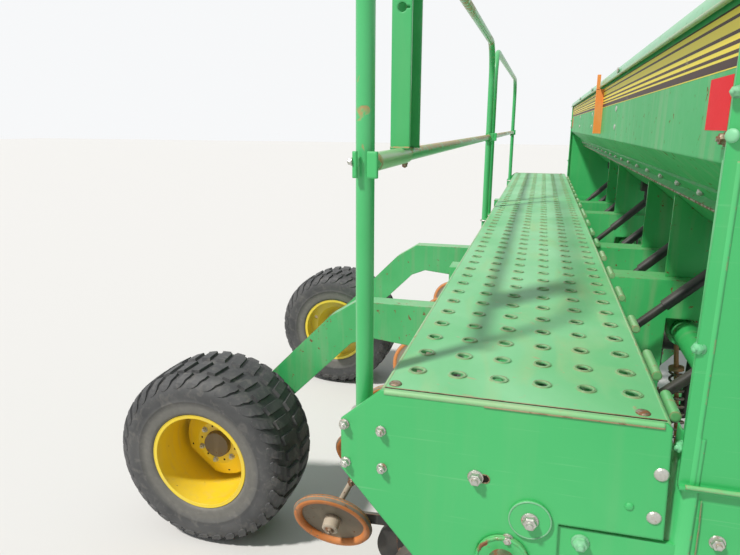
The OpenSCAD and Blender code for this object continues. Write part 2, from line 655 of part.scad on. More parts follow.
module hub_solid() rotate_extrude() polygon([[spindle_r + fit, hub_in], [62, hub_in], [62, disc_in - 14],
    [98, disc_in - 14], [98, disc_in - gap], [cap_r, disc_in - gap], [cap_r, disc_in + 56],
    [cap_r - 9, disc_in + 65], [0, disc_in + 65], [0, arm_out + 160], [spindle_r + fit, arm_out + 160]]);
module rim_solid() let (m = track / 2, h = tyre_w / 2 - 13, b = disc_in - dish) difference() {
    union() {
        rotate_extrude() polygon([[cap_r + gap, disc_in], [plate_r - 10, disc_in], [150, b], [rim_r - 5, b],
            [rim_r - 5, m - h], [rim_r + 12, m - h], [rim_r + 12, m - h + 5], [rim_r, m - h + 5],
            [rim_r, m + h - 5], [rim_r + 12, m + h - 5], [rim_r + 12, m + h], [rim_r - 5, m + h],
            [rim_r - 5, b + 10], [154, b + 10], [plate_r - 8, disc_in + 8], [cap_r + gap, disc_in + 8]]);
        translate([0, 0, disc_in + 2]) linear_extrude(8) difference() {
            intersection() {
                circle(plate_r);
                rotate(plate_turn) circle(2 * plate_r - 18, $fn = 3);
            }
            circle(cap_r + gap);
        }
    }
    for (a = [0 : 60 : 300]) rotate(a + 17) translate([80, 0, disc_in - 20]) cylinder(r = 4, h = 50);
    for (a = [20, 200]) rotate(a) translate([172, 0, b - 20]) cylinder(r = 12, h = 50);
}
module tyre_solid() let (m = track / 2, h = tyre_w / 2, b = h - 18 - gap) rotate_extrude() polygon([
    [rim_r + gap, m - b], [rim_r + 12 + gap, m - b], [rim_r + 26, m - h + 6], [290, m - h],
    [tyre_r - 64, m - h], [tyre_r - 27, m - h + 17], [tyre_r - 6, m - h + 60], [tyre_r, m - 70],
    [tyre_r, m + 70], [tyre_r - 6, m + h - 60], [tyre_r - 27, m + h - 17], [tyre_r - 64, m + h],
    [290, m + h], [rim_r + 26, m + h - 6], [rim_r + 12 + gap, m + b], [rim_r + gap, m + b]]);
module hub_left() color(rust) wheel_turn(1) hub_solid();
module hub_right() color(rust) wheel_turn(-1) hub_solid();
module rim_left() color(yellow) wheel_turn(1) rim_solid();
module rim_right() color(yellow) wheel_turn(-1) rim_solid();
module tyre_left() color(black) wheel_turn(1) tyre_solid($fn = 24);
module tyre_right() color(black) wheel_turn(-1) tyre_solid($fn = 24);

// Lift cylinders, from the front bar's brackets to the lift tube's lugs
ram_a = [bk(ram_base[0]), 0, ram_base[1]];
ram_b = [bk(ram_lug[0]), 0, ram_lug[1]];
ram_v = unit(ram_b - ram_a);
ram_body = 620;
eye_play = 2.5;   // room in the rod's eye, where the linkage is opened
module eye(p, bore) difference() {
    translate(p - [0, 17, 0]) rotate([-90, 0, 0]) cylinder(r = 30, h = 34);
    translate(p - [0, 30, 0]) rotate([-90, 0, 0]) cylinder(r = bore, h = 60);
}
module ram_barrel() {
    eye(ram_a, ram_pin_r + fit);
    difference() {
        union() {
            rod_between(ram_a + 20 * ram_v, ram_a + 45 * ram_v, 16);
            rod_between(ram_a + 40 * ram_v, ram_a + ram_body * ram_v, ram_r);
        }
        rod_between(ram_a + 150 * ram_v, ram_a + (ram_body + 5) * ram_v, rod_r + fit);
    }
}
module ram_rod() difference() {
    union() {
        rod_between(ram_a + 300 * ram_v, ram_b - 40 * ram_v, rod_r);
        rod_between(ram_b - 45 * ram_v, ram_b - 20 * ram_v, 15);
        eye(ram_b, ram_pin_r + eye_play);
    }
    translate(ram_b - [0, 30, 0]) rotate([-90, 0, 0]) cylinder(r = ram_pin_r + eye_play, h = 60);
}
module ram_barrel_left() color(black) translate([0, ram_y, 0]) ram_barrel();
module ram_barrel_right() color(black) translate([0, -ram_y, 0]) ram_barrel();
module ram_rod_left() color(steel) translate([0, ram_y, 0]) ram_rod();
module ram_rod_right() color(steel) translate([0, -ram_y, 0]) ram_rod();

front_bar();
rear_bar();
frame_ribs();
side_plates();
rockshafts();
deck();
deck_ends();
handrail_right();
handrail_left();
rail_channel();
ladder();
seed_box();
box_end_sheets();
box_saddles();
seed_meters();
meter_shaft();
seed_tubes();
opener_brackets();
opener_arms();
opener_discs();
seed_boots();
gauge_rims();
gauge_tyres();
tail_arms();
press_wheels();
closing_wheels();
spring_rods();
down_springs();
tongue();
hitch_clevis();
jack_tube();
jack_leg();
lift_frame();
wheel_spindles();
hub_left();
hub_right();
rim_left();
rim_right();
tyre_left();
tyre_right();
ram_barrel_left();
ram_barrel_right();
ram_rod_left();
ram_rod_right();
lid_left();
lid_right();
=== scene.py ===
import bpy
import bmesh
import math
from mathutils import Matrix, Vector


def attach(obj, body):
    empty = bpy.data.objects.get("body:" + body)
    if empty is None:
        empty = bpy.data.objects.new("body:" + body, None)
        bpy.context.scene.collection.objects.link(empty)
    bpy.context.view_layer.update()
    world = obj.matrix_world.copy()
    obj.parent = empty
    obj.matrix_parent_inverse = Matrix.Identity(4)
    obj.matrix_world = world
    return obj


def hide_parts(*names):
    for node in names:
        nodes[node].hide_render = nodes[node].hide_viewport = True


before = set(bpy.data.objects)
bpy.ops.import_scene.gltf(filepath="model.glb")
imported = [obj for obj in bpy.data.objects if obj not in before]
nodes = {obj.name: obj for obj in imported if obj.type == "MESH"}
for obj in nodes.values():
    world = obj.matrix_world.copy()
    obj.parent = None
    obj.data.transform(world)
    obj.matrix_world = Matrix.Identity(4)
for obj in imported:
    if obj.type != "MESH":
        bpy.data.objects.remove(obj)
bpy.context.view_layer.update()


# View and light
# The camera stands at the right end of the loading deck and looks along it.
# One broad lamp stands in for the sun behind the right shoulder, and the world fills the shade.
EYE = Vector((-0.890, -3.116, 1.800))
LOOK = Vector((-0.258, 0.935, -0.243)).normalized()
CAMERA_ROLL = math.radians(0.3)
TO_SUN = Vector((-0.48, -0.58, 1.0))


def in_scene(name, data):
    """A new object in the scene"""
    made = bpy.data.objects.new(name, data)
    bpy.context.scene.collection.objects.link(made)
    return made


def feed(tree, node, sockets):
    """Gives a node's sockets their values or links"""
    for name, value in sockets.items():
        if isinstance(value, bpy.types.NodeSocket):
            tree.links.new(value, node.inputs[name])
        else:
            node.inputs[name].default_value = value


def add(tree, kind, sockets, **settings):
    """A new node with its settings, whose sockets take values or links"""
    node = tree.nodes.new(kind)
    for name, value in settings.items():
        setattr(node, name, value)
    feed(tree, node, sockets)
    return node


def math_of(operation, a, b):
    """What a Math node makes of two values, of which at least one is a socket"""
    tree = next(value.id_data for value in (a, b) if isinstance(value, bpy.types.NodeSocket))
    return add(tree, "ShaderNodeMath", {0: a, 1: b}, operation=operation).outputs[0]


def either(a, b):
    """The larger of two values"""
    return math_of("MAXIMUM", a, b)


lens = bpy.data.cameras.new("view")
lens.sensor_width = 36
lens.lens = 29.67
lens.clip_end = 200
camera = in_scene("view", lens)
camera.matrix_world = (
    Matrix.Translation(EYE)
    @ LOOK.to_track_quat("-Z", "Y").to_matrix().to_4x4()
    @ Matrix.Rotation(CAMERA_ROLL, 4, "Z")
)
bpy.context.scene.camera = camera
bpy.context.scene.view_settings.view_transform = "Standard"

lamp = bpy.data.lights.new("key", "SUN")
lamp.energy = 3.35
lamp.angle = math.radians(5)
lamp.color = (1.0, 0.975, 0.94)
key = in_scene("key", lamp)
key.rotation_euler = TO_SUN.to_track_quat("Z", "Y").to_euler()

# The world is darker as a lamp than as what is seen, also through glass or in a mirror
world = bpy.data.worlds.new("room")
world.use_nodes = True
bpy.context.scene.world = world
sky = world.node_tree
rays = sky.nodes.new("ShaderNodeLightPath").outputs
seen = rays["Is Camera Ray"]
for kind in ("Is Transmission Ray", "Is Glossy Ray"):
    seen = either(seen, rays[kind])
fill = sky.nodes["Background"]
feed(sky, fill, {"Color": (0.90, 0.95, 1.0, 1), "Strength": 0.44})
back = add(sky, "ShaderNodeBackground", {"Color": (0.93, 0.94, 0.95, 1), "Strength": 1.0})
pick = add(sky, "ShaderNodeMixShader", {0: seen, 1: fill.outputs[0], 2: back.outputs[0]})
feed(sky, sky.nodes["World Output"], {"Surface": pick.outputs[0]})

ground = bpy.data.meshes.new("floor")
ground.from_pydata([(-60, -60, 0), (60, -60, 0), (60, 60, 0), (-60, 60, 0)], [], [(0, 1, 2, 3)])
floor = in_scene("floor", ground)
concrete = bpy.data.materials.new("floor")
concrete.use_nodes = True
feed(
    concrete.node_tree, concrete.node_tree.nodes["Principled BSDF"],
    {"Base Color": (0.72, 0.71, 0.69, 1), "Roughness": 0.95},
)
ground.materials.append(concrete)


# Frame, painted steel
# Square tool bars, ribs and side plates of welded plate, sprayed green over primer.
# Years outdoors have faded the paint, dust lies on what faces up, and edges show rust.
RUST_DARK = (0.105, 0.040, 0.018)
RUST_LIGHT = (0.330, 0.130, 0.050)
DUST = (0.46, 0.40, 0.29)
GREEN = (0.038, 0.420, 0.110)
GREEN_FADED = (0.085, 0.560, 0.180)
SCRATCH_GREEN = (0.30, 0.62, 0.34)


def material(name):
    """A new material, its node tree, its shader and the place of a point on the object"""
    made = bpy.data.materials.new(name)
    made.use_nodes = True
    tree = made.node_tree
    place = tree.nodes.new("ShaderNodeTexCoord").outputs["Object"]
    return made, tree, tree.nodes["Principled BSDF"], place


def noise(place, scale, detail=4.0, twist=0.0):
    sockets = {"Vector": place, "Scale": scale, "Detail": detail, "Distortion": twist}
    return add(place.id_data, "ShaderNodeTexNoise", sockets).outputs["Fac"]


def stretched(place, scale):
    return add(place.id_data, "ShaderNodeMapping", {"Vector": place, "Scale": scale}).outputs["Vector"]


def step(value, low, high):
    """Rises from 0 at low to 1 at high"""
    sockets = {"Value": value, "From Min": low, "From Max": high}
    return add(value.id_data, "ShaderNodeMapRange", sockets).outputs["Result"]


def times(a, b):
    return math_of("MULTIPLY", a, b)


def plus(a, b):
    return math_of("ADD", a, b)


def minus(a, b):
    return math_of("SUBTRACT", a, b)


def blend(share, a, b):
    """Colour a, turning to b by share"""
    a, b = (c if isinstance(c, bpy.types.NodeSocket) else (*c, 1) for c in (a, b))
    return add(share.id_data, "ShaderNodeMix", {0: share, 6: a, 7: b}, data_type="RGBA").outputs[2]


def true_normal(tree):
    return add(tree, "ShaderNodeNewGeometry", {}).outputs["True Normal"]


def edges(tree, radius):
    """1 along the edges of a piece and 0 on its faces, and the rounded normal"""
    soft = add(tree, "ShaderNodeBevel", {"Radius": radius}, samples=4).outputs["Normal"]
    turn = add(tree, "ShaderNodeVectorMath", {0: soft, 1: true_normal(tree)}, operation="DOT_PRODUCT")
    return step(turn.outputs["Value"], 0.985, 0.80), soft


def facing_up(tree):
    return add(tree, "ShaderNodeSeparateXYZ", {"Vector": true_normal(tree)}).outputs["Z"]


def bumped(height, distance, strength, **normal):
    """The normal of a surface with small heights, over a rounded Normal where one is given"""
    sockets = {"Height": height, "Distance": distance, "Strength": strength, **normal}
    return add(height.id_data, "ShaderNodeBump", sockets).outputs["Normal"]


def painted(
    name, fresh, faded, wear=0.5, dust=0.35, gloss=0.34, under=RUST_LIGHT, dark=RUST_DARK, rubbed=None,
    coat_weight=0.25, shine=0.5, hard=0.0, streak=0.30, scratch=0.0,
):
    """Sprayed paint with fading, chips, worn edges and dust, worn away where rubbed says so"""
    made, tree, shader, place = material(name)
    cloud = noise(place, 1.6, 5.0, 0.4)
    fine = noise(place, 55.0, 6.0, 0.6)
    coat = blend(step(cloud, 0.36, 0.66), fresh, faded)
    streaks = noise(stretched(place, (26.0, 26.0, 2.2)), 1.0, 5.0)
    coat = blend(times(step(streaks, 0.50, 0.80), streak), coat, DUST)
    lines = noise(stretched(place, (5.0, 5.0, 260.0)), 1.0, 3.0)
    coat = blend(times(step(lines, 0.66, 0.74), scratch), coat, SCRATCH_GREEN)
    edge, soft = edges(tree, 0.005)
    ragged = plus(times(edge, 0.30 * wear), fine)
    worn = step(ragged, 0.66 + hard, 0.70 + hard)
    start = 0.765 - 0.05 * wear + hard
    chips = step(noise(place, 21.0, 9.0, 1.2), start, start + 0.02)
    bare = either(worn, chips)
    if rubbed:
        handled = plus(times(rubbed(tree, place), 0.42), cloud)
        bare = either(bare, step(plus(handled, fine), 1.26, 1.34))
    rust = blend(noise(place, 130.0, 4.0), under, dark)
    film = times(step(facing_up(tree), 0.35, 0.95), step(cloud, 0.30, 0.75))
    film = times(film, dust)
    rough = plus(times(bare, 0.42), gloss)
    rough = plus(rough, times(film, 0.5))
    rough = plus(rough, times(fine, 0.10))
    height = minus(times(noise(place, 240.0, 2.0), 0.12), bare)
    feed(tree, shader, {
        "Base Color": blend(film, blend(bare, coat, rust), DUST),
        "Roughness": rough,
        "Normal": bumped(height, 0.0006, 0.5, Normal=soft),
        "Coat Weight": coat_weight,
        "Coat Roughness": 0.12,
        "Specular IOR Level": shine,
    })
    return made


def coat_nodes(finish, *names):
    for name in names:
        for seat in nodes[name].material_slots:
            seat.material = finish


frame_green = painted("green_paint", GREEN, GREEN_FADED)
coat_nodes(frame_green, "front_bar", "rear_bar", "frame_ribs", "rockshafts", "box_saddles", "ladder")
plate_green = painted(
    "plate_paint", (0.042, 0.450, 0.125), (0.066, 0.510, 0.152), wear=0.3, dust=0.12, gloss=0.32,
    under=(0.42, 0.34, 0.18), dark=(0.26, 0.17, 0.09), hard=0.14, streak=0.07, scratch=0.16,
)
coat_nodes(plate_green, "side_plates")


# Loading deck
# A long folded sheet with rows of punched holes, whose raised lips grip the boots.
# Boots have rubbed the lips and the edges down to tan primer, and the folded edges carry a painted highlight
# in paler green.
DECK_FRONT = -0.696
DECK_WIDTH = 0.405
DECK_TOP = 1.410
DECK_HALF = 2.279
DRILL_END = 2.286


def aft(distance):
    """The x of a place so far behind the deck's front edge"""
    return DECK_FRONT - distance


def worn_deck():
    made, tree, shader, place = material("deck_paint")
    cloud = noise(place, 2.4, 6.0, 0.8)
    scuff = noise(stretched(place, (9.0, 3.0, 9.0)), 1.0, 8.0, 1.5)
    coat = blend(step(cloud, 0.35, 0.65), (0.120, 0.470, 0.180), (0.245, 0.590, 0.300))
    patch = step(scuff, 0.52, 0.76)
    coat = blend(times(patch, 0.50), coat, (0.44, 0.54, 0.29))
    speck = step(noise(place, 60.0, 8.0, 1.0), 0.76, 0.79)
    edge, soft = edges(tree, 0.005)
    worn = step(plus(times(edge, 0.30), noise(place, 42.0, 6.0, 0.8)), 0.67, 0.73)
    bare = either(speck, worn)
    feed(tree, shader, {
        "Base Color": blend(times(bare, 0.7), coat, (0.42, 0.35, 0.19)),
        "Roughness": plus(times(patch, 0.25), 0.42),
        "Normal": bumped(plus(scuff, bare), 0.0007, 0.4, Normal=soft),
    })
    return made


coat_nodes(worn_deck(), "deck")


def keep(mesh, name, finish, body):
    """A finished piece at the origin, riding on its body"""
    piece = in_scene(name, mesh)
    mesh.materials.clear()
    mesh.materials.append(finish)
    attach(piece, body)
    return piece


def facing(way, along=(0, 1, 0)):
    """Turns that bring a shape's Z to face way, with its Y as near along as can be"""
    z = Vector(way).normalized()
    y = Vector(along)
    if abs(y.normalized().dot(z)) > 0.95:
        y = Vector((1, 0, 0))
    x = y.cross(z).normalized()
    return Matrix((x, z.cross(x), z)).transposed().to_euler()


def new_tree(name, sizes):
    """A tree of Geometry Nodes that takes sizes, and the outputs of its input node"""
    tree = bpy.data.node_groups.new(name, "GeometryNodeTree")
    tree.interface.new_socket("Geometry", in_out="INPUT", socket_type="NodeSocketGeometry")
    for size in sizes:
        tree.interface.new_socket(size, in_out="INPUT", socket_type="NodeSocketFloat")
    tree.interface.new_socket("Geometry", in_out="OUTPUT", socket_type="NodeSocketGeometry")
    return tree, tree.nodes.new("NodeGroupInput").outputs


def finished(start, tree, name, shape, sizes, finish, body):
    """Closes a node tree, runs it on the mesh to start from and keeps its result as one plain mesh"""
    real = add(tree, "GeometryNodeRealizeInstances", {"Geometry": shape})
    skin = add(tree, "GeometryNodeSetMaterial", {"Geometry": real.outputs[0], "Material": finish})
    add(tree, "NodeGroupOutput", {"Geometry": skin.outputs[0]})
    holder = in_scene(name, start)
    modifier = holder.modifiers.new(name, "NODES")
    modifier.node_group = tree
    for item in tree.interface.items_tree:
        if item.in_out == "INPUT" and item.name in sizes:
            modifier[item.identifier] = float(sizes[item.name])
    bpy.context.view_layer.update()
    made = bpy.data.meshes.new_from_object(holder.evaluated_get(bpy.context.evaluated_depsgraph_get()))
    bpy.data.objects.remove(holder)
    bpy.data.meshes.remove(start)
    made.name = name
    if "turn" in made.attributes:
        made.attributes.remove(made.attributes["turn"])
    return keep(made, name, finish, body)


def set_out(name, finish, spots, build, sizes, body="root"):
    """Puts what build makes on every spot, a place and its turns, by Geometry Nodes"""
    carrier = bpy.data.meshes.new(name + "_spots")
    carrier.from_pydata([tuple(place) for place, _ in spots], [], [])
    turns = carrier.attributes.new("turn", "FLOAT_VECTOR", "POINT")
    turns.data.foreach_set("vector", [c for _, turn in spots for c in turn])
    tree, given = new_tree(name, sizes)
    euler = add(tree, "GeometryNodeInputNamedAttribute", {"Name": "turn"}, data_type="FLOAT_VECTOR")
    turned = add(tree, "FunctionNodeEulerToRotation", {"Euler": euler.outputs["Attribute"]})
    spread = add(
        tree, "GeometryNodeInstanceOnPoints",
        {"Points": given["Geometry"], "Instance": build(tree, given), "Rotation": turned.outputs[0]},
    )
    return finished(carrier, tree, name, spread.outputs["Instances"], sizes, finish, body)


def piped(curve, radius, sides):
    """A round bar along a curve"""
    tree = curve.id_data
    section = add(tree, "GeometryNodeCurvePrimitiveCircle", {"Resolution": sides, "Radius": radius})
    return add(
        tree, "GeometryNodeCurveToMesh",
        {"Curve": curve, "Profile Curve": section.outputs[0], "Fill Caps": True},
    ).outputs[0]


def beads(name, finish, spots, radius, thick, sides=20, body="root"):
    """Pressed lips or beads: thin round bars bent to rings"""
    def ring(tree, given):
        bend = add(
            tree, "GeometryNodeCurvePrimitiveCircle", {"Resolution": sides, "Radius": given["Ring radius"]}
        )
        return piped(bend.outputs[0], given["Bead radius"], 6)

    set_out(name, finish, spots, ring, {"Ring radius": radius, "Bead radius": thick}, body)


def rods(name, finish, paths, radius, sides=8, body="root"):
    """Round rods, seams or folds of one thickness along paths, by Geometry Nodes"""
    lines = bpy.data.meshes.new(name + "_paths")
    joins = []
    first = 0
    for path in paths:
        joins += [(first + i, first + i + 1) for i in range(len(path) - 1)]
        first += len(path)
    lines.from_pydata([tuple(p) for path in paths for p in path], joins, [])
    sizes = {"Radius": radius}
    tree, given = new_tree(name, sizes)
    line = add(tree, "GeometryNodeMeshToCurve", {"Mesh": given["Geometry"]})
    rod = piped(line.outputs[0], given["Radius"], sides)
    finished(lines, tree, name, rod, sizes, finish, body)


def across(x, y0, y1, z):
    """A level path across the drill"""
    return [(x, y0, z), (x, y1, z)]


lip_paint = painted(
    "lip_paint", (0.20, 0.46, 0.19), (0.44, 0.52, 0.28), wear=0.7, dust=0.2, under=(0.36, 0.27, 0.14)
)
UP = facing((0, 0, 1))
GRIP_COLUMNS = [aft(DECK_WIDTH / 2 + (i - 2.5) * 0.0655) for i in range(6)]
GRIP_ROWS = [(j - 26.0) * 0.0845 for j in range(53)]
beads(
    "deck_lips", lip_paint, [((x, y, DECK_TOP + 0.0006), UP) for x in GRIP_COLUMNS for y in GRIP_ROWS],
    0.0127, 0.0014,
)
# Folds, hems, seams and sleeves: tan primer where they are rubbed, and a paler green that is a painted
# highlight along their rounded bends
fold_wear_and_highlight = painted(
    "fold_wear_and_highlight", (0.16, 0.50, 0.19), (0.38, 0.56, 0.29), wear=1.0, dust=0.2, under=(0.50, 0.40, 0.22),
    dark=(0.28, 0.17, 0.08), hard=0.03,
)
rods(
    "deck_folds", fold_wear_and_highlight,
    [across(aft(d), -DECK_HALF, DECK_HALF, DECK_TOP - 0.0028) for d in (0.0032, 0.4022)], 0.0036,
)
TABS = [(-2.213, -2.134), (-2.058, -1.948), (-1.804, -1.727)]
TABS += [(middle - 0.045, middle + 0.045) for middle in (-1.515, -1.275, -1.035, -0.795, -0.555, -0.315)]
MIDDLE_TAB = (-0.120, 0.120)
rods(
    "deck_tabs", fold_wear_and_highlight,
    [
        across(aft(-0.0200), y0, y1, DECK_TOP - 0.021)
        for y0, y1 in TABS + [(-a, -b) for a, b in TABS] + [MIDDLE_TAB]
    ],
    0.0085, 12,
)


def moved(shape, **how):
    """A shape after a Translation, a Rotation or a Scale"""
    return add(shape.id_data, "GeometryNodeTransform", {"Geometry": shape, **how}).outputs[0]


def shifted(shape, axis, distance):
    way = add(shape.id_data, "ShaderNodeCombineXYZ", {axis: distance})
    return moved(shape, Translation=way.outputs[0])


def turned_bar(tree, sides, low, high, length):
    """A round or many-sided bar that stands on its base and may taper"""
    return add(
        tree, "GeometryNodeMeshCone",
        {"Vertices": sides, "Radius Bottom": low, "Radius Top": high, "Depth": length},
    ).outputs["Mesh"]


def joined(*shapes):
    tree = shapes[0].id_data
    both = tree.nodes.new("GeometryNodeJoinGeometry")
    for shape in shapes:
        tree.links.new(shape, both.inputs[0])
    return both.outputs[0]


def hex_bolt(tree, given):
    """A washer, a six-sided head with its corners taken off, and the end of the bolt"""
    radius, height = given["Head radius"], given["Head height"]
    flat = times(height, 0.78)
    washer = turned_bar(tree, 20, times(radius, 1.22), times(radius, 1.16), 0.0024)
    head = shifted(turned_bar(tree, 6, radius, radius, flat), "Z", 0.0022)
    crown = turned_bar(tree, 6, radius, times(radius, 0.84), times(height, 0.22))
    thread = times(radius, 0.50), times(radius, 0.44)
    end = turned_bar(tree, 10, *thread, times(height, 1.75))
    return joined(washer, head, shifted(crown, "Z", plus(flat, 0.0022)), end)


def domed_bolt(tree, given):
    """A low round head, as on a carriage bolt or a rivet"""
    ball = add(tree, "GeometryNodeMeshUVSphere", {"Segments": 14, "Rings": 7, "Radius": given["Head radius"]})
    return moved(ball.outputs["Mesh"], Scale=(1, 1, 0.42))


def bolts(name, finish, spots, radius, height, body="root"):
    """Bolts or nuts with six sides"""
    set_out(name, finish, spots, hex_bolt, {"Head radius": radius, "Head height": height}, body)


def heads(name, finish, spots, radius, body="root"):
    """Low round bolt heads"""
    set_out(name, finish, spots, domed_bolt, {"Head radius": radius}, body)


def discs(name, finish, spots, radius, length, sides, taper=1.0, body="root"):
    """Short round bars that may taper"""
    def disc(tree, given):
        return turned_bar(tree, sides, given["Radius"], times(given["Radius"], taper), length)

    set_out(name, finish, spots, disc, {"Radius": radius}, body)


def zinc(name, clean, stain, share):
    """Bolts once plated, or bare metal, now dull and stained from their corners"""
    made, tree, shader, place = material(name)
    edge, soft = edges(tree, 0.002)
    blot = plus(noise(place, 70.0, 6.0, 0.8), times(edge, 0.15))
    rusty = step(blot, 0.78 - share, 0.88 - share)
    dull = blend(noise(place, 190.0, 3.0), clean, tuple(0.6 * c for c in clean))
    feed(tree, shader, {
        "Base Color": blend(rusty, dull, stain),
        "Roughness": plus(times(rusty, 0.35), 0.36),
        "Metallic": minus(0.75, times(rusty, 0.7)),
        "Normal": bumped(blot, 0.0004, 0.5, Normal=soft),
    })
    return made


plated = zinc("plated_bolts", (0.66, 0.66, 0.60), (0.30, 0.17, 0.08), 0.14)
rusty_bolts = zinc("rusty_bolts", (0.40, 0.32, 0.24), (0.20, 0.085, 0.035), 0.30)
heads(
    "deck_bolts", rusty_bolts,
    [((aft(d), s * 2.259, DECK_TOP), UP) for d in (0.0325, 0.3885) for s in (-1, 1)], 0.0105,
)


# Deck's end plates
# A flat plate closes each end of the deck, with its top edge folded outwards and bolts through to the frame.
# The fold is rubbed bare and painted paler green as a painted highlight on its bend; the flat face has kept
# its paint.
END_PLATE_TOP = 1.4075
SIDE_PLATE_FACE = 2.281
WASHER_AT = (0.1738, 0.1785)
WASHER_THICK = 0.005
SLOT_AFT, SLOT_FORE, SLOT_DROP, SLOT_HALF = 0.2600, 0.2430, 0.1240, 0.0066
SLOT_FACE = DRILL_END + 0.0002
coat_nodes(plate_green, "deck_ends")
bolt_green = painted(
    "bolt_paint", (0.170, 0.560, 0.270), (0.300, 0.640, 0.370), wear=0.2, dust=0.1, hard=0.14, streak=0.0,
    under=(0.42, 0.36, 0.22),
)
primer_line = painted(
    "primer_line", (0.34, 0.24, 0.12), (0.46, 0.36, 0.20), dust=0.2, under=(0.22, 0.11, 0.05)
)
# Near-black paint that is painted shade: floors seen through the slots, holes in the wheel discs, and the gap
# of each deck joint, where soil lies too
dirt_and_painted_shade = painted(
    "dirt_and_painted_shade", (0.008, 0.006, 0.005), (0.022, 0.015, 0.010), wear=-1.0, dust=0.0, streak=0.0, hard=0.2,
    coat_weight=0.0, shine=0.1,
)


def upright(way):
    """Turns that bring a shape's Z to face way and keep its Y upright"""
    return facing(way, (0, 0, 1))


def on_ends(*places, face=DRILL_END):
    """Spots on both ends of the drill, so far behind the deck's front edge and below its top"""
    return [
        ((aft(distance), s * face, DECK_TOP - drop), upright((0, s, 0)))
        for distance, drop in places for s in (-1, 1)
    ]


def at_ends(*lines):
    """Level lines on both ends of the drill, from start to stop behind the deck's front edge"""
    return [
        [(aft(start), s * y, z), (aft(stop), s * y, z)] for start, stop, y, z in lines for s in (-1, 1)
    ]


rods("end_plate_folds", fold_wear_and_highlight, at_ends((0.008, 0.400, 2.2835, END_PLATE_TOP - 0.0012)), 0.0046, 12)
rods(
    "deck_end_primer", primer_line,
    at_ends(
        (0.004, 0.401, 2.2742, DECK_TOP - 0.0006),
        (0.008, 0.250, 2.2870, END_PLATE_TOP - 0.0042),
    ),
    0.0014,
)
# A dark line along the joint of deck and end plate: painted shade of the gap, and soil in it
rods("deck_end_joints", dirt_and_painted_shade, at_ends((0.004, 0.401, 2.2768, DECK_TOP - 0.0006)), 0.0014)
bolts(
    "end_plate_bolts", plated,
    on_ends((0.4042, 0.0681), (0.4021, 0.1317), (0.4634, 0.0645), (0.4615, 0.1302)), 0.0070, 0.0078,
)
heads("end_plate_round_heads", plated, on_ends((0.0046, 0.0759), (0.0070, 0.1443)), 0.0105)
heads("end_plate_flat_heads", plate_green, on_ends((0.0404, 0.1326)), 0.0065)
bolts("end_plate_small_bolts", plated, on_ends((0.2040, 0.2185)), 0.0072, 0.0070)
discs("end_plate_washers", plate_green, on_ends(WASHER_AT), 0.0316, WASHER_THICK, 36, 0.97)
beads(
    "end_washer_rims", bolt_green, on_ends(WASHER_AT, face=DRILL_END + WASHER_THICK - 0.0005),
    0.0304, 0.0014, 36,
)
bolts("end_washer_bolts", plated, on_ends(WASHER_AT, face=DRILL_END + WASHER_THICK), 0.0108, 0.0100)
bolts("slot_bolts", plated, on_ends((0.2568, 0.1233)), 0.0102, 0.0095)


def slot_line(s, grow=0.0):
    """Points round a level slot with round ends, in the right or the left end plate"""
    half = SLOT_HALF + grow
    line = []
    for k in range(24):
        a = k * math.tau / 24
        x = aft(SLOT_AFT if math.cos(a) < 0 else SLOT_FORE) + half * math.cos(a)
        line.append((x, s * SLOT_FACE, DECK_TOP - SLOT_DROP + half * math.sin(a)))
    return line


def swept(form, corners, way):
    """A face with these corners, drawn out to a block"""
    face = form.faces.new([form.verts.new(c) for c in corners])
    drawn = bmesh.ops.extrude_face_region(form, geom=[face])
    for corner in [g for g in drawn["geom"] if isinstance(g, bmesh.types.BMVert)]:
        corner.co += Vector(way)


def solid(name, finish, shapes, body="root"):
    """One piece made of the shapes that are drawn into it"""
    form = bmesh.new()
    shapes(form)
    bmesh.ops.recalc_face_normals(form, faces=form.faces)
    mesh = bpy.data.meshes.new(name)
    form.to_mesh(mesh)
    form.free()
    return keep(mesh, name, finish, body)


# Dark floors just behind the slots: painted shade seen through them
def slot_floors(form):
    for s in (-1, 1):
        swept(form, slot_line(s), (0, -s * 0.004, 0))


solid("slot_floors", dirt_and_painted_shade, slot_floors)
rods(
    "slot_rims", primer_line, [slot_line(s, 0.0004) + slot_line(s, 0.0004)[:1] for s in (-1, 1)], 0.0010, 6
)
bolts(
    "side_plate_bolts", plated,
    on_ends((-0.100, 0.300), (-0.330, 0.300), (0.060, 0.420), face=SIDE_PLATE_FACE), 0.0110, 0.0095,
)
bolts(
    "painted_plate_bolts", bolt_green, on_ends((0.1000, 0.2070), face=SIDE_PLATE_FACE), 0.0110, 0.0095,
)


# Rockshaft ends
# The two shafts that press the openers down turn in the frame's plates, and the rear one shows at each end.
# A ring of weld holds its end disc, and its middle is bare rusty steel.
SHAFT_AT = (0.210, 0.254)
beads("shaft_welds", frame_green, on_ends(SHAFT_AT, face=2.2925), 0.0385, 0.0030)
discs("shaft_middles", rusty_bolts, on_ends(SHAFT_AT, face=2.2930), 0.0212, 0.0185, 32, 0.94)


# Handrails
# Two loops of round tube with a mid rail, clamped to brackets behind the deck.
# Hands and weather have taken the paint off the mid rail and the bends.
RAIL_X = aft(0.445)
MID_RAIL = 1.745
INNER_POST, OUTER_POST = 0.095, 2.236
POSTS = (-OUTER_POST, -INNER_POST, INNER_POST, OUTER_POST)
CLAMP_Z = 1.347
CLAMP_OFF, CLAMP_HALF = 0.0215, 0.0035
CLAMP_LOW, CLAMP_HIGH = MID_RAIL - 0.0205, MID_RAIL + 0.0180
# Of each bar of a clamp: how far its middle is before the rail, and half its width
CLAMP_BARS = [(-0.0094, 0.0034), (0.0170, 0.0080)]
SLEEVE_START, SLEEVE_END = 2.187, 1.962
REAR_WAY = upright((-1, 0, 0))


def near(value, middle, half):
    """1 where the value lies within half of the middle"""
    sockets = {0: value, 1: middle, 2: half}
    return add(value.id_data, "ShaderNodeMath", sockets, operation="COMPARE").outputs[0]


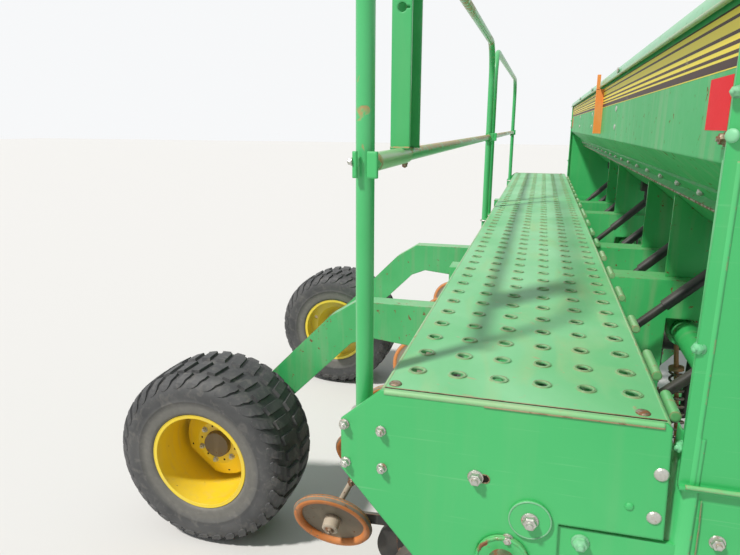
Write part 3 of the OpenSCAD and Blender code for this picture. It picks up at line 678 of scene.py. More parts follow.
def rail_rubbed(tree, place):
    """The top of the mid rail between its posts, and a little of the upper bends"""
    axes = add(tree, "ShaderNodeSeparateXYZ", {"Vector": place}).outputs
    along = math_of("ABSOLUTE", axes["Y"], 0.0)
    middle = near(axes["Z"], MID_RAIL, 0.018)
    for post in (INNER_POST, OUTER_POST):
        middle = minus(middle, near(along, post, 0.022))
    upper = times(middle, step(facing_up(tree), -0.35, 0.45))
    bends = times(step(axes["Z"], 2.08, 2.17), 0.45)
    return either(upper, bends)


rail_green = painted(
    "rail_paint", GREEN, (0.075, 0.480, 0.165), dust=0.2, gloss=0.30, under=(0.45, 0.34, 0.13),
    dark=(0.34, 0.25, 0.10), rubbed=rail_rubbed, hard=0.12, streak=0.10,
)
coat_nodes(rail_green, "handrail_right", "handrail_left", "rail_channel")


def block(form, low, high):
    """A box from corner to corner, with its edges rounded a little"""
    size = [h - l for l, h in zip(low, high)]
    middle = [(h + l) / 2 for l, h in zip(low, high)]
    made = bmesh.ops.create_cube(
        form, size=1.0, matrix=Matrix.Translation(middle) @ Matrix.Diagonal((*size, 1))
    )
    sides = list({e for v in made["verts"] for e in v.link_edges})
    bmesh.ops.bevel(form, geom=sides, offset=min(size) * 0.18, segments=2, affect="EDGES", profile=0.6)


def rail_clamps(form):
    for y in POSTS:
        face = y - CLAMP_OFF
        for off, half in CLAMP_BARS:
            middle = RAIL_X + off
            block(
                form, (middle - half, face - CLAMP_HALF, CLAMP_LOW),
                (middle + half, face + CLAMP_HALF, CLAMP_HIGH),
            )


def u_clamp(tree, given):
    """A U-bolt round a post: a bent bar whose threaded legs take two nuts behind the plate"""
    legs, bar = given["Leg spread"], given["Bar radius"]
    arc = add(
        tree, "GeometryNodeCurveArc",
        {"Resolution": 12, "Radius": legs, "Start Angle": 0.0, "Sweep Angle": math.pi},
    )
    bow = moved(piped(arc.outputs["Curve"], bar, 8), Rotation=(math.radians(90), 0, 0))
    nut = shifted(turned_bar(tree, 6, 0.0085, 0.0078, 0.007), "Z", 0.022)
    leg = moved(joined(turned_bar(tree, 8, bar, bar, 0.036), nut), Rotation=(math.pi, 0, 0))
    return joined(bow, *(shifted(leg, "X", times(legs, sign)) for sign in (-1.0, 1.0)))


set_out(
    "post_clamps", plated, [((RAIL_X, y, CLAMP_Z), REAR_WAY) for y in POSTS], u_clamp,
    {"Leg spread": 0.0180, "Bar radius": 0.0040},
)
rods(
    "channel_seams", rail_green,
    [
        [(RAIL_X - 0.018, y, MID_RAIL + 0.014), (RAIL_X + 0.018, y, MID_RAIL + 0.014)]
        for y in (-2.0055, -1.9105)
    ],
    0.0030, 6,
)
solid("rail_clamps", plate_green, rail_clamps)
bolts(
    "rail_clamp_bolts", plated,
    [((RAIL_X - 0.0125, y - 0.0225, MID_RAIL + 0.003), REAR_WAY) for y in POSTS], 0.0050, 0.0045,
)
# Sleeves in rubbed paint, with a painted highlight in paler green
rods(
    "rail_sleeves", fold_wear_and_highlight,
    [across(RAIL_X, s * SLEEVE_START, s * SLEEVE_END, MID_RAIL - 0.001) for s in (-1, 1)], 0.0150, 20,
)
bolts(
    "rail_sleeve_bolts", rusty_bolts,
    [((RAIL_X, s * SLEEVE_END, MID_RAIL - 0.0155), facing((0, 0, -1))) for s in (-1, 1)], 0.0052, 0.0050,
)


# Seed box
# A long folded sheet-steel box with sloping walls, stiffened by a bent rail on each slope.
# It is green with printed stripes, red reflector tapes and an orange one on the rear wall.
BOX_REAR = aft(-0.025)
BOX_FRONT = aft(-0.705)
BOX_MIDDLE = aft(-0.365)
WALLS = (("rear", BOX_REAR, -1), ("front", BOX_FRONT, 1))
SIDES = ((1, "left"), (-1, "right"))
STRIPE_HALF = 2.275
STRIPE_LOW, STRIPE_HIGH = 1.8695, 1.9450
STRIPE_BANDS = [(0.850, 0.965), (0.600, 0.790), (0.440, 0.535), (0.290, 0.370), (0.175, 0.225), (0.0, 0.020)]
SLOPE_RUN, SLOPE_DROP = 0.275, 0.225
BEND_REACH, BEND_Z = 0.340, 1.755
CORNER_OUT, CORNER_Y = 0.0040, 2.2880
box_green = painted(
    "box_paint", (0.030, 0.380, 0.105), (0.060, 0.450, 0.145), wear=0.0, dust=0.25, gloss=0.42,
    coat_weight=0.0, shine=0.25,
)
coat_nodes(box_green, "seed_box")


def stripe_print():
    """Yellow bands that grow thinner downwards, on brown"""
    made, tree, shader, place = material("stripe_print")
    height = add(tree, "ShaderNodeSeparateXYZ", {"Vector": place}).outputs["Z"]
    share = step(height, STRIPE_LOW, STRIPE_HIGH)
    bands = 0.0
    for low, high in STRIPE_BANDS:
        bands = either(bands, near(share, (low + high) / 2, (high - low) / 2))
    ink = blend(bands, (0.060, 0.030, 0.028), (0.88, 0.70, 0.085))
    scuff = step(noise(place, 30.0, 7.0, 0.8), 0.66, 0.74)
    feed(tree, shader, {
        "Base Color": blend(times(scuff, 0.5), ink, DUST),
        "Roughness": plus(times(scuff, 0.3), 0.45),
        "Specular IOR Level": 0.10,
        "Normal": bumped(noise(place, 35.0, 2.0), 0.0008, 0.25),
    })
    return made


def tape(name, colour, pale):
    """Reflecting tape with a fine woven bead pattern, faded and dusty"""
    made, tree, shader, place = material(name)
    cells = add(tree, "ShaderNodeTexVoronoi", {"Vector": place, "Scale": 420.0}).outputs["Distance"]
    fade = step(noise(place, 14.0, 5.0, 0.6), 0.42, 0.75)
    hue = blend(times(fade, 0.35), colour, pale)
    feed(tree, shader, {
        "Base Color": blend(times(cells, 0.25), hue, pale),
        "Roughness": 0.40,
        "Specular IOR Level": 0.03,
        "Normal": bumped(cells, 0.0002, 0.3),
    })
    return made


def board(name, finish, x, thick, y0, y1, z0, z1):
    """A flat strip on the box's rear or front wall, as thick as given along x"""
    corners = [(x, y0, z0), (x, y1, z0), (x, y1, z1), (x, y0, z1)]
    solid(name, finish, lambda form: swept(form, corners, (thick, 0, 0)))


printed = stripe_print()
for wall, x, way in WALLS:
    board(wall + "_stripes", printed, x, way * 0.0004, -way * STRIPE_HALF, way * STRIPE_HALF,
          STRIPE_LOW, STRIPE_HIGH)
red_tape = tape("red_tape", (0.80, 0.010, 0.020), (0.86, 0.045, 0.050))
for s, side in SIDES:
    board("red_tape_" + side, red_tape, BOX_REAR, -0.0005, s * 2.246, s * 2.136, 1.795, 1.8625)


def marker_strip(form):
    block(form, (BOX_REAR - 0.030, -0.446, 1.770), (BOX_REAR + 0.001, -0.440, 1.942))
    block(form, (BOX_REAR - 0.030, -0.446, 1.938), (BOX_REAR - 0.0165, -0.440, 1.996))


def on_corners(z):
    """Places on the box's four upright corners, looking out at half a right angle"""
    return [
        ((x + way * CORNER_OUT, s * CORNER_Y, z), upright((way, s, 0)))
        for _, x, way in WALLS for s in (-1, 1)
    ]


def down_slope(run, stand, y, way):
    """A place on the box's sloping wall, run down from the bend and standing out of it"""
    length = math.hypot(SLOPE_RUN, SLOPE_DROP)
    level, fall = SLOPE_RUN / length, SLOPE_DROP / length
    reach = BEND_REACH - run * level + stand * fall
    return (BOX_MIDDLE + way * reach, y, BEND_Z - run * fall - stand * level)


solid("orange_marker", tape("orange_tape", (0.93, 0.27, 0.06), (0.98, 0.48, 0.22)), marker_strip)
heads(
    "box_wall_bolts", plated,
    [
        ((x, y, z), upright((way, 0, 0)))
        for _, x, way in WALLS for y in (-0.96, 0.07, 1.10) for z in (1.797, 1.853)
    ],
    0.0100,
)
bolts(
    "box_corner_nuts", rusty_bolts, [((BOX_REAR, s * 2.249, 1.785), REAR_WAY) for s in (-1, 1)],
    0.0080, 0.0065,
)
bolts("box_corner_bolts", bolt_green, on_corners(1.8395), 0.0064, 0.0080)
heads("box_corner_caps", bolt_green, on_corners(1.7895), 0.0090)
for wall, _, way in WALLS:
    rods(
        "slope_rail_edge_" + wall, rusty_bolts,
        [[down_slope(0.1475, 0.0205, y, way) for y in (-DECK_HALF, DECK_HALF)]], 0.0030, 6,
    )
    out_of_slope = facing((way * SLOPE_DROP, 0, -SLOPE_RUN))
    bolts(
        "slope_rail_bolts_" + wall, plated,
        [(down_slope(0.123, 0.005, -2.20 + 0.22 * i, way), out_of_slope) for i in range(21)], 0.0068, 0.0050,
    )


# Box end sheets
# A sheet bolted over each end of the box, in two panels that lap at a bent seam.
# The seam's lip and the edges show tan primer, and the seam's lip is painted paler green as a painted
# highlight.
SHEET_OUT = 2.2872
SHEET_THICK = 0.0025
SHEET_EDGES = ((-1, aft(-0.0165)), (1, aft(-0.7135)))
# Of each panel: bottom, top, how far back its edge is, its bend's radius and how far in its flange reaches
EDGE_PANELS = [(0.985, 1.395, 0.0, 0.027, 2.244), (1.3235, 1.760, 0.003, 0.018, 2.266)]
# Of each bolt in the rolled edges: reach from the box's middle, y, z, and its turn to the front or rear
EDGE_BOLTS = [(0.3437, 2.2807, 1.5205, 0.5), (0.3450, 2.2725, 1.3735, 0.64)]
# How a sheet's edge has peeled away: places behind the deck's front edge, and heights
PEEL = [(-0.0488, 1.303), (-0.0505, 1.262), (-0.0511, 1.218)]
coat_nodes(plate_green, "box_end_sheets")
rods("end_sheet_seams", fold_wear_and_highlight, at_ends((-0.0246, -0.675, 2.2935, 1.325)), 0.0032)


def band(form, here, there):
    """Faces between two closed rows of points"""
    for i in range(len(here)):
        j = (i + 1) % len(here)
        form.faces.new((here[i], here[j], there[j], there[i]))


def cover(form, row):
    """Faces across a closed row of points, between its first and its second half"""
    n = len(row)
    for i in range(n // 2 - 1):
        form.faces.new((row[i], row[i + 1], row[n - 2 - i], row[n - 1 - i]))


def rolled_edge(form, s, way, edge, low, high, back, bend, reach_in):
    """One upright edge of a sheet, rolled inwards to a flange"""
    face = edge - way * (back + bend)
    turns = [k * math.pi / 16 for k in range(9)]
    outer = [(face + way * bend * math.sin(a), s * (SHEET_OUT - bend + bend * math.cos(a))) for a in turns]
    outer.append((face + way * bend, s * reach_in))
    inner = [
        (x - way * SHEET_THICK * min(1.0, abs(x - face) / 0.01), y - s * SHEET_THICK) for x, y in outer
    ]
    rows = [[form.verts.new((x, y, z)) for x, y in outer + inner[::-1]] for z in (low, high)]
    band(form, *rows)
    for row in rows:
        cover(form, row)


def sheet_edges(form):
    for s in (-1, 1):
        for way, edge in SHEET_EDGES:
            for panel in EDGE_PANELS:
                rolled_edge(form, s, way, edge, *panel)


flange_green = painted(
    "flange_paint", (0.060, 0.500, 0.150), (0.110, 0.590, 0.210), wear=0.6, dust=0.12, gloss=0.30,
    under=(0.46, 0.37, 0.20), dark=(0.28, 0.18, 0.09), hard=0.10, streak=0.10,
)
solid("sheet_edges", flange_green, sheet_edges)
rods("sheet_peels", fold_wear_and_highlight, [[(aft(d), s * 2.2870, z) for d, z in PEEL] for s in (-1, 1)], 0.0011, 6)
bolts(
    "sheet_edge_bolts", bolt_green,
    [
        ((BOX_MIDDLE + way * run, s * y, z), upright((way * cast, s * (1 - cast), 0)))
        for way in (-1, 1) for s in (-1, 1) for run, y, z, cast in EDGE_BOLTS
    ],
    0.0076, 0.0080,
)
bolts("end_sheet_bolts", plated, on_ends((-0.365, -0.450)), 0.0088, 0.0072)
bolts(
    "low_panel_bolts", plated, on_ends((-0.0767, 0.1683), (-0.620, 0.170), (-0.350, 0.170), face=2.2835),
    0.0092, 0.0075,
)


# Lids
# Two crowned lids of rolled sheet, hinged along the front, with bolts on the lip at the back.
# Sun has paled their crowns, and dust lies on top.
LID_BOLTS = {"right": [-1.05], "left": [0.02, 1.03]}
LID_BOLT_X, LID_BOLT_Z = aft(-0.012) - 0.0035, 1.963
HEM_Z = 1.9495
HEM_PLACES = (aft(-0.010) - 0.0015, aft(-0.720) + 0.0015)
coat_nodes(
    painted("lid_paint", (0.070, 0.430, 0.165), (0.170, 0.560, 0.260), wear=0.4, dust=0.45, gloss=0.26),
    "lid_left", "lid_right",
)
for s, side in SIDES:
    heads(
        "lid_bolts_" + side, plated, [((LID_BOLT_X, y, LID_BOLT_Z), REAR_WAY) for y in LID_BOLTS[side]],
        0.0095, body="lid_" + side,
    )
    # Hems in rubbed paint, with a painted highlight in paler green
    rods(
        "lid_hems_" + side, fold_wear_and_highlight,
        [across(x, s * 0.004, s * 2.2925, HEM_Z) for x in HEM_PLACES], 0.0030, body="lid_" + side,
    )


# Seed metering
# A moulded meter under the box for each row, on one six-sided drive shaft.
# Black hoses run from the meters and thin pipes carry on to the openers.
ROW_COUNT = 18
ROW_PITCH = 0.254
ROWS = [(i - (ROW_COUNT - 1) / 2) * ROW_PITCH for i in range(ROW_COUNT)]


def moulded(name, tone, pale, grain):
    """Moulded plastic or hose rubber with a dusty bloom"""
    made, tree, shader, place = material(name)
    bloom = step(noise(place, 6.0, 5.0, 0.5), 0.42, 0.74)
    settled = times(step(facing_up(tree), 0.2, 0.9), 0.45)
    film = either(times(bloom, 0.35), settled)
    feed(tree, shader, {
        "Base Color": blend(film, tone, pale),
        "Roughness": plus(times(film, 0.35), 0.40),
        "Normal": bumped(noise(place, grain, 3.0), 0.0003, 0.4),
    })
    return made


meter_plastic = moulded("meter_plastic", (0.020, 0.020, 0.022), (0.22, 0.19, 0.14), 600.0)
coat_nodes(meter_plastic, "seed_meters")
coat_nodes(moulded("hose_rubber", (0.010, 0.012, 0.012), (0.16, 0.14, 0.11), 260.0), "seed_tubes")
bare_steel = zinc("bare_steel", (0.42, 0.40, 0.37), (0.22, 0.11, 0.055), 0.22)
coat_nodes(bare_steel, "meter_shaft")
beads(
    "meter_collars", meter_plastic, [((BOX_MIDDLE, y, z), UP) for y in ROWS for z in (1.443, 1.410)],
    0.0255, 0.0035,
)


# Openers
# Eighteen single-disc openers in two ranks on the tool bars, each with a gauge wheel, a boot, a firming wheel
# and a leaned cast-iron closing wheel. A spring on a rod from the rockshaft presses each one down.
# Soil has polished the discs and stained the arms, and the castings are plain rust.
RANKS = (-0.160, -0.660)
PIVOT_BACK, PIVOT_Z = 0.060, 0.7605
# Places on an opener: reach from its pivot along x, and height
DISC_AT = (-0.440, 0.370)
GAUGE_AT = (-0.470, 0.394)
GAUGE_ARM_AT = (-0.230, PIVOT_Z - 0.185)
CLOSE_AT = (-0.965, 0.340)
PRESS_AT = (-0.700, 0.245)
TAIL_ROD_FOOT = (-0.941, 0.412)
TAIL_ROD_HEAD = (-0.897, 0.502)
TAIL_NUT_AT = (-0.894, 0.506)
# How far off the opener's middle they are, to its own side
DISC_OFF = 0.0565
TAIL_OFF = 0.0273
TAIL_ROD_OFF = -0.027
CLOSE_OFF = 0.031
DISC_TOE = math.radians(7)
DISC_BOLT_RING = 0.033
DISC_HUB_OUT = 0.012
LEAN = math.radians(24)
OWN_SIDE, OTHER_SIDE = (0, 1, 0), (0, -1, 0)
soiled_green = painted("opener_paint", (0.034, 0.370, 0.100), (0.090, 0.480, 0.170), wear=0.9, dust=0.55)
coat_nodes(soiled_green, "opener_arms", "opener_brackets", "seed_boots")
arm_black = painted("arm_paint", (0.018, 0.018, 0.018), (0.050, 0.048, 0.045), wear=0.9, dust=0.5)
coat_nodes(arm_black, "tail_arms")
cast_rust = painted(
    "cast_rust", (0.30, 0.120, 0.045), (0.46, 0.22, 0.095), wear=0.8, dust=0.45, gloss=0.55,
    under=(0.50, 0.42, 0.31),
)
coat_nodes(cast_rust, "spring_rods")
cast_dusty = painted(
    "cast_dusty", (0.205, 0.175, 0.130), (0.330, 0.275, 0.195), wear=0.3, dust=0.5, gloss=0.60,
    under=(0.30, 0.16, 0.08), coat_weight=0.0, shine=0.3,
)
coat_nodes(cast_dusty, "closing_wheels")
rolled_rust = painted(
    "rolled_rust", (0.560, 0.190, 0.052), (0.680, 0.270, 0.085), wear=0.2, dust=0.2, gloss=0.55,
    under=(0.42, 0.30, 0.20), coat_weight=0.0, shine=0.3,
)
hub_tan = painted(
    "hub_tan", (0.460, 0.390, 0.300), (0.560, 0.480, 0.370), dust=0.3, gloss=0.50, under=(0.28, 0.19, 0.12),
    coat_weight=0.0, shine=0.4,
)
coat_nodes(zinc("worn_disc", (0.47, 0.43, 0.38), (0.30, 0.16, 0.08), 0.26), "opener_discs")
gauge_rubber = moulded("gauge_rubber", (0.032, 0.032, 0.032), (0.25, 0.21, 0.16), 180.0)
coat_nodes(gauge_rubber, "gauge_tyres", "press_wheels")
rim_yellow = painted(
    "yellow_paint", (0.86, 0.62, 0.020), (0.90, 0.70, 0.06), wear=-0.3, dust=0.15, under=(0.36, 0.24, 0.10),
    hard=0.07,
)
coat_nodes(rim_yellow, "gauge_rims")


def own_side(row):
    """The way to an opener's own side, away from the drill's middle: -1 to the right and 1 to the left"""
    return -1 if row < ROW_COUNT / 2 else 1


def at_opener(row, reach, height, off):
    """A place on an opener: reach from its pivot, its height, and off to its own side"""
    return (aft(RANKS[row % 2] + PIVOT_BACK) + reach, ROWS[row] - own_side(row) * off, height)


def opener_way(row, x, y, z):
    """Turns to face a way that is given for a right-hand opener"""
    return upright((x, -own_side(row) * y, z))


def on_openers(place, off, way):
    """Spots at the same place on every opener"""
    return [(at_opener(row, *place, off), opener_way(row, *way)) for row in range(ROW_COUNT)]


def on_closing_wheels(out):
    """Spots on the closing wheels' axes, so far out of their middles"""
    spots = []
    for row in range(ROW_COUNT):
        hand = 1 if row % 2 == 0 else -1
        off = -(TAIL_OFF + hand * (CLOSE_OFF + out * math.cos(LEAN)))
        place = at_opener(row, CLOSE_AT[0], CLOSE_AT[1] - out * math.sin(LEAN), off)
        spots.append((place, opener_way(row, 0, -hand * math.cos(LEAN), -math.sin(LEAN))))
    return spots


def disc_bolts():
    """Five bolts round each disc's hub, on its toed-in face"""
    spots = []
    for k in range(5):
        a = k * math.tau / 5
        reach = DISC_BOLT_RING * math.cos(a) * math.cos(DISC_TOE) - DISC_HUB_OUT * math.sin(DISC_TOE)
        place = (DISC_AT[0] + reach, DISC_AT[1] + DISC_BOLT_RING * math.sin(a))
        spots += on_openers(place, DISC_OFF, (-math.sin(DISC_TOE), math.cos(DISC_TOE), 0))
    return spots


def hub_barrel(tree, given):
    """A cast barrel that tapers a little and ends in a bevelled face"""
    radius, length = given["Barrel radius"], given["Barrel length"]
    body = turned_bar(tree, 28, times(radius, 1.05), radius, length)
    face = turned_bar(tree, 28, radius, times(radius, 0.80), 0.004)
    return joined(body, shifted(face, "Z", length))


bolts(
    "pivot_bolts", rusty_bolts,
    on_openers((0.0, PIVOT_Z), 0.030, OWN_SIDE) + on_openers((0.0, PIVOT_Z), -0.030, OTHER_SIDE),
    0.0165, 0.012,
)
heads("disc_hub_bolts", rusty_bolts, disc_bolts(), 0.0070)
bolts(
    "gauge_hub_nuts", rusty_bolts,
    on_openers(GAUGE_AT, 0.179, OWN_SIDE) + on_openers(GAUGE_ARM_AT, 0.180, OWN_SIDE),
    0.0150, 0.011,
)
bolts(
    "press_hub_nuts", rusty_bolts, on_openers(PRESS_AT, -0.034, OTHER_SIDE), 0.0110, 0.009
)
beads("closing_rims", rolled_rust, on_closing_wheels(0.0005), 0.1388, 0.0172, 48)
set_out(
    "closing_hubs", hub_tan, on_closing_wheels(-0.006), hub_barrel,
    {"Barrel radius": 0.0310, "Barrel length": 0.0420},
)
bolts("closing_hub_nuts", rusty_bolts, on_closing_wheels(0.0395), 0.0165, 0.0085)
rods(
    "tail_rods", hub_tan,
    [
        [at_opener(row, *place, TAIL_ROD_OFF) for place in (TAIL_ROD_FOOT, TAIL_ROD_HEAD)]
        for row in range(ROW_COUNT)
    ],
    0.0115, 14,
)
bolts(
    "tail_rod_nuts", rusty_bolts, on_openers(TAIL_NUT_AT, TAIL_ROD_OFF, OTHER_SIDE), 0.0160, 0.0180,
)


# Down-pressure springs
# A coil of black round wire on each rod, held between two seats.
# Its foot stands a little up the rod, on the lower seat.
ROD_LOW = Vector((-0.250, 0, 0.5863))
ROD_HIGH = Vector((-0.310, 0, 1.0987))
SPRING_FOOT = ROD_LOW + (ROD_HIGH - ROD_LOW) * 0.2300
SPRING_OFF = 0.052


def coil_shape(tree, given):
    """Round wire wound up to a coil that stands along Z"""
    radius = given["Coil radius"]
    wind = add(
        tree, "GeometryNodeCurveSpiral",
        {
            "Resolution": 14, "Rotations": 9.5, "Start Radius": radius, "End Radius": radius,
            "Height": given["Length"],
        },
    )
    return piped(wind.outputs[0], given["Wire radius"], 6)


spring_black = painted("spring_paint", (0.016, 0.016, 0.017), (0.045, 0.043, 0.042), wear=0.7)
springs = set_out(
    "spring_coils", spring_black,
    [
        (at_opener(row, SPRING_FOOT.x, SPRING_FOOT.z, -SPRING_OFF), facing(ROD_HIGH - ROD_LOW))
        for row in range(ROW_COUNT)
    ],
    coil_shape, {"Coil radius": 0.0215, "Wire radius": 0.0045, "Length": 0.2780},
)
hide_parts("down_springs")


# Tongue, hitch and jack
# Two box beams meet at the hitch, whose forged clevis takes the drawbar pin.
# A screw jack in a round tube carries the tongue when it is parked.
CLEVIS_X, CLEVIS_Z = aft(-3.077), 0.480
JACK_X = aft(-2.607)
coat_nodes(frame_green, "tongue")
coat_nodes(bare_steel, "hitch_clevis", "jack_leg", "wheel_spindles")
coat_nodes(arm_black, "jack_tube")
bolts(
    "clevis_bolts", plated,
    [((CLEVIS_X, s * 0.060, CLEVIS_Z + z), upright((0, s, 0))) for z in (-0.040, 0.040) for s in (-1, 1)],
    0.0130, 0.010,
)
beads(
    "jack_rings", arm_black, [((JACK_X, 0.0, z), UP) for z in (0.334, 0.905, 0.940)], 0.0400, 0.0040,
)


# Lift frame
# Two bent box-section arms welded to a tube under the ribs carry the transport wheels.
# Two cylinders from the front tool bar turn the tube.
LIFT_X, LIFT_Z = aft(0.330), 0.900
RAM_HALF = 0.762
RAM_START = Vector((aft(-0.600), 0, 1.040))
RAM_WAY = (Vector((aft(0.315), 0, 1.050)) - RAM_START).normalized()
lift_green = painted("lift_paint", (0.045, 0.430, 0.120), (0.120, 0.560, 0.210), wear=0.7, dust=0.5)
coat_nodes(lift_green, "lift_frame")
beads(
    "lift_welds", lift_green,
    [((LIFT_X, s * y, LIFT_Z), facing((0, 1, 0))) for s in (-1, 1) for y in (0.6125, 0.7075)],
    0.0650, 0.0055, 96, body="lift_frame",
)
cylinder_black = painted("cylinder_paint", (0.014, 0.014, 0.015), (0.040, 0.038, 0.036), dust=0.4)
coat_nodes(cylinder_black, "ram_barrel_left", "ram_barrel_right")
coat_nodes(zinc("rod_chrome", (0.72, 0.72, 0.70), (0.30, 0.20, 0.12), 0.02), "ram_rod_left", "ram_rod_right")


def on_ram(s, turn, rise, *places):
    """Spots so far along a lift cylinder and so far above its axis"""
    return [(RAM_START + RAM_WAY * place + Vector((0, s * RAM_HALF, rise)), turn) for place in places]


for s, side in SIDES:
    ram = "ram_barrel_" + side
    beads(
        "ram_rings_" + side, cylinder_black, on_ram(s, facing(RAM_WAY), 0, 0.044, 0.600, 0.616),
        0.0440, 0.0040, body=ram,
    )
    bolts("ram_ports_" + side, plated, on_ram(s, UP, 0.043, 0.085, 0.575), 0.0130, 0.012, body=ram)


# Transport wheels
# Wide flotation tyres with blocky bar treads on deep yellow rims, bolted to brown iron hubs by six studs.
# Grey dust dries on the sidewalls next to the rims, and the treads are worn dark.
TRACK_HALF = 0.900
RIM_HALF = 0.1645
AXLE_X, AXLE_Z = aft(1.513), 0.402
# The tread's outside and the sidewall: distance from the wheel's middle, and radius
CROWN = [
    (0.000, 0.4020), (0.050, 0.4015), (0.090, 0.4000), (0.120, 0.3960), (0.145, 0.3880), (0.163, 0.3750),
    (0.174, 0.3580), (0.180, 0.3380),
]
SIDEWALL = [
    (0.1806, 0.3180), (0.1802, 0.2980), (0.1788, 0.2860), (0.1806, 0.2830), (0.1780, 0.2795),
    (0.1752, 0.2620), (0.1735, 0.2480), (0.1745, 0.2330), (0.1700, 0.2215), (0.1620, 0.2187),
    (0.1600, 0.2064),
]
# How deep the bag lies below each point of the crown
BELOW = [0.0125, 0.0125, 0.0125, 0.0120, 0.0110, 0.0095, 0.0065, 0.0015]
# A tread block's outline: its share from the middle to the sidewall, and its angle by pitches
PITCHES = 34
SHOULDER_LUG = [
    (0.46, 0.70), (0.56, 0.60), (0.68, 0.44), (0.78, 0.18), (0.90, 0.02), (0.975, 0.08),
    (0.998, 0.34), (0.94, 0.62), (0.84, 0.84), (0.70, 0.98), (0.58, 1.20), (0.46, 1.26),
]
MIDDLE_BLOCK = [(0.04, 0.10), (0.22, 0.00), (0.40, -0.05), (0.40, 0.50), (0.22, 0.60), (0.04, 0.68)]
BLOCK_TAPER = 0.90
WHEEL_STEPS = 96
DISC_FACE = 0.8955
DISC_REACH, FLAT_REACH, FLAT_TURN = 0.172, 0.154, 131
# The outer plate in section: share of the reach to its edge, radius to add, distance from the drill's middle
PLATE_SECTION = [
    (0, 0.058, 0.887), (0, 0.100, 0.887), (1, 0.0, 0.855), (1, 0.0, 0.862), (1, -0.002, 0.864),
    (0, 0.100, DISC_FACE), (0, 0.058, DISC_FACE),
]
coat_nodes(rim_yellow, "rim_left", "rim_right")
hub_brown = painted(
    "hub_brown", (0.165, 0.125, 0.075), (0.240, 0.180, 0.100), wear=0.3, dust=0.4, gloss=0.5,
    under=(0.30, 0.14, 0.06), coat_weight=0.0,
)
coat_nodes(hub_brown, "hub_left", "hub_right")
valve_rubber = zinc("valve_rubber", (0.035, 0.035, 0.035), (0.09, 0.08, 0.065), 0.1)


def from_axle(place):
    """How far a point is from the axle"""
    tree, kind = place.id_data, "ShaderNodeVectorMath"
    off = add(tree, kind, {0: place, 1: (AXLE_X, 0, AXLE_Z)}, operation="SUBTRACT").outputs[0]
    flat = add(tree, kind, {0: off, 1: (1, 0, 1)}, operation="MULTIPLY").outputs[0]
    return add(tree, kind, {0: flat}, operation="LENGTH").outputs["Value"]


def tyre_rubber():
    made, tree, shader, place = material("tyre_rubber")
    cloud = noise(place, 9.0, 6.0, 0.5)
    chalky = step(plus(from_axle(place), times(cloud, 0.010)), 0.296, 0.262)
    dark = blend(step(cloud, 0.35, 0.7), (0.050, 0.051, 0.053), (0.088, 0.088, 0.088))
    chalk = blend(noise(place, 40.0, 5.0), (0.155, 0.150, 0.130), (0.245, 0.235, 0.205))
    hue = blend(times(chalky, 0.62), dark, chalk)
    grime = times(step(noise(place, 26.0, 7.0, 1.0), 0.52, 0.72), 0.32)
    feed(tree, shader, {
        "Base Color": blend(grime, hue, (0.235, 0.220, 0.195)),
        "Roughness": plus(times(cloud, 0.2), 0.52),
        "Normal": bumped(noise(place, 150.0, 5.0), 0.0006, 0.5),
    })
    return made


def crown_at(share):
    """Place on the tread's outside, from the middle (0) to where it ends on the sidewall (1)"""
    spot = share * (len(CROWN) - 1)
    i = min(int(spot), len(CROWN) - 2)
    t = spot - i
    (y0, r0), (y1, r1) = CROWN[i], CROWN[i + 1]
    (v0, s0), (v1, s1) = CROWN[max(i - 1, 0)], CROWN[min(i + 2, len(CROWN) - 1)]
    deep = BELOW[i] + t * (BELOW[i + 1] - BELOW[i])
    return Vector((y0 + t * (y1 - y0), r0 + t * (r1 - r0))), Vector((s0 - s1, v1 - v0)).normalized(), deep


def spun(spot, a, middle, hand=1):
    """A point of the tyre's section, turned round the axle"""
    return (AXLE_X + spot.y * math.sin(a), middle + hand * spot.x, AXLE_Z + spot.y * math.cos(a))


def carcass(form, middle):
    """The tyre's bag below its tread, spun round the axle"""
    outline = []
    for i in range(len(CROWN)):
        spot, normal, deep = crown_at(i / (len(CROWN) - 1))
        outline.append(spot - normal * deep)
    outline += [Vector(p) for p in SIDEWALL]
    whole = [Vector((-p.x, p.y)) for p in reversed(outline[1:])] + outline
    angles = [k * math.tau / WHEEL_STEPS for k in range(WHEEL_STEPS)]
    rows = [[form.verts.new(spun(p, a, middle)) for p in whole] for a in angles]
    for k, row in enumerate(rows):
        band(form, row, rows[(k + 1) % WHEEL_STEPS])
    for face in form.faces:
        face.smooth = True


def tread_block(form, outline, angle, hand, middle):
    """One rubber block that follows the crown, sunk a little into the bag below"""
    n = len(outline)
    centre = [sum(p[i] for p in outline) / n for i in (0, 1)]
    lows, tops = [], []
    for share, turn in outline:
        spot, normal, deep = crown_at(min(max(share, 0.0), 1.0))
        a = angle + turn * math.tau / PITCHES
        lows.append(form.verts.new(spun(spot - normal * (deep + 0.003), a, middle, hand)))
        share, turn = (c + (p - c) * BLOCK_TAPER for c, p in zip(centre, (share, turn)))
        a = angle + turn * math.tau / PITCHES
        tops.append(form.verts.new(spun(crown_at(share)[0], a, middle, hand)))
    cover(form, tops)
    band(form, lows, tops)
    form.faces.new(lows[::-1])


def tyre_with_tread(form, middle):
    carcass(form, middle)
    for k in range(PITCHES):
        for hand, shift in ((1, 0.0), (-1, 0.5)):
            for outline in (SHOULDER_LUG, MIDDLE_BLOCK):
                tread_block(form, outline, (k + shift) * math.tau / PITCHES, hand, middle)


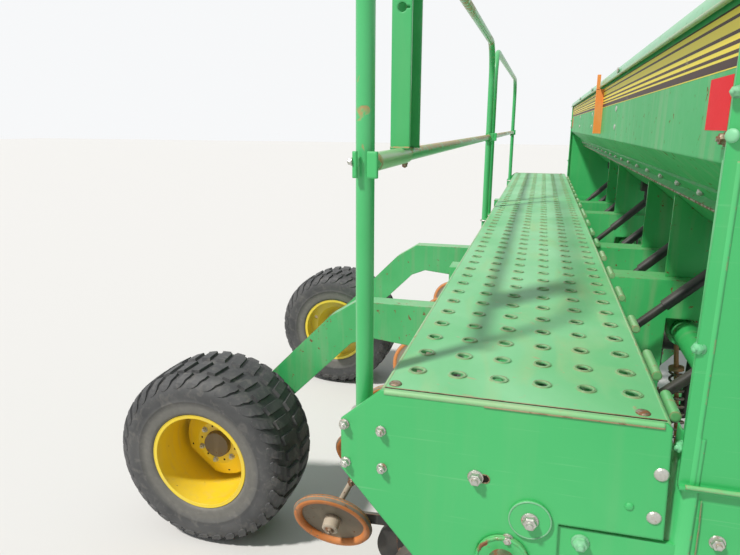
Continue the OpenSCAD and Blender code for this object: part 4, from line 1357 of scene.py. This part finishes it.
def wheel_plate(form, s):
    """The disc's outer plate, raised in its middle, round with three flats and a hole for the cap"""
    rows = []
    for share, more, y in PLATE_SECTION:
        row = []
        for k in range(WHEEL_STEPS):
            degrees = k * 360 / WHEEL_STEPS
            off = math.radians((degrees + FLAT_TURN + 60) % 120 - 60)
            r = share * min(DISC_REACH, FLAT_REACH / math.cos(off)) + more
            a = math.radians(degrees)
            row.append(form.verts.new((AXLE_X + r * math.cos(a), s * y, AXLE_Z + r * math.sin(a))))
        rows.append(row)
    for i, row in enumerate(rows):
        band(form, row, rows[(i + 1) % len(rows)])


def round_axle(s, y, radius=0.0, count=1, start=0):
    """Spots that look out, on a ring round the axle whose first one is turned by start in degrees"""
    angles = [math.radians(start) + k * math.tau / count for k in range(count)]
    return [
        ((AXLE_X + radius * math.cos(a), s * y, AXLE_Z + radius * math.sin(a)), upright((0, s, 0)))
        for a in angles
    ]


rubber = tyre_rubber()
for s, side in SIDES:
    wheel = "wheel_" + side
    tyre = solid(
        "tyre_with_tread_" + side, rubber, lambda form: tyre_with_tread(form, s * TRACK_HALF),
        wheel,
    )
    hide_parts("tyre_" + side)
    solid("wheel_plate_" + side, rim_yellow, lambda form: wheel_plate(form, s), wheel)
    bolts("wheel_studs_" + side, plated, round_axle(s, DISC_FACE, 0.086, 6, -42), 0.0110, 0.0100, body=wheel)
    # Dark discs for the holes in the wheel's disc: painted shade seen through them
    discs(
        "wheel_holes_" + side, dirt_and_painted_shade,
        round_axle(s, DISC_FACE - 0.0025, 0.083, 6, -12) + round_axle(s, 0.8730, 0.145, 4, -76),
        0.0046, 0.0032, 16, body=wheel,
    )
    discs(
        "hub_caps_" + side, hub_brown, round_axle(s, DISC_FACE - 0.002), 0.0620, 0.0240, 48, 0.93,
        wheel,
    )
    beads(
        "rim_edges_" + side, rim_yellow,
        round_axle(s, TRACK_HALF + RIM_HALF) + round_axle(s, TRACK_HALF - RIM_HALF), 0.2155, 0.0034, 96,
        wheel,
    )
    bolts(
        "valve_" + side, valve_rubber, round_axle(s, 0.8160, 0.192, 1, 148.97), 0.0060, 0.022,
        wheel,
    )
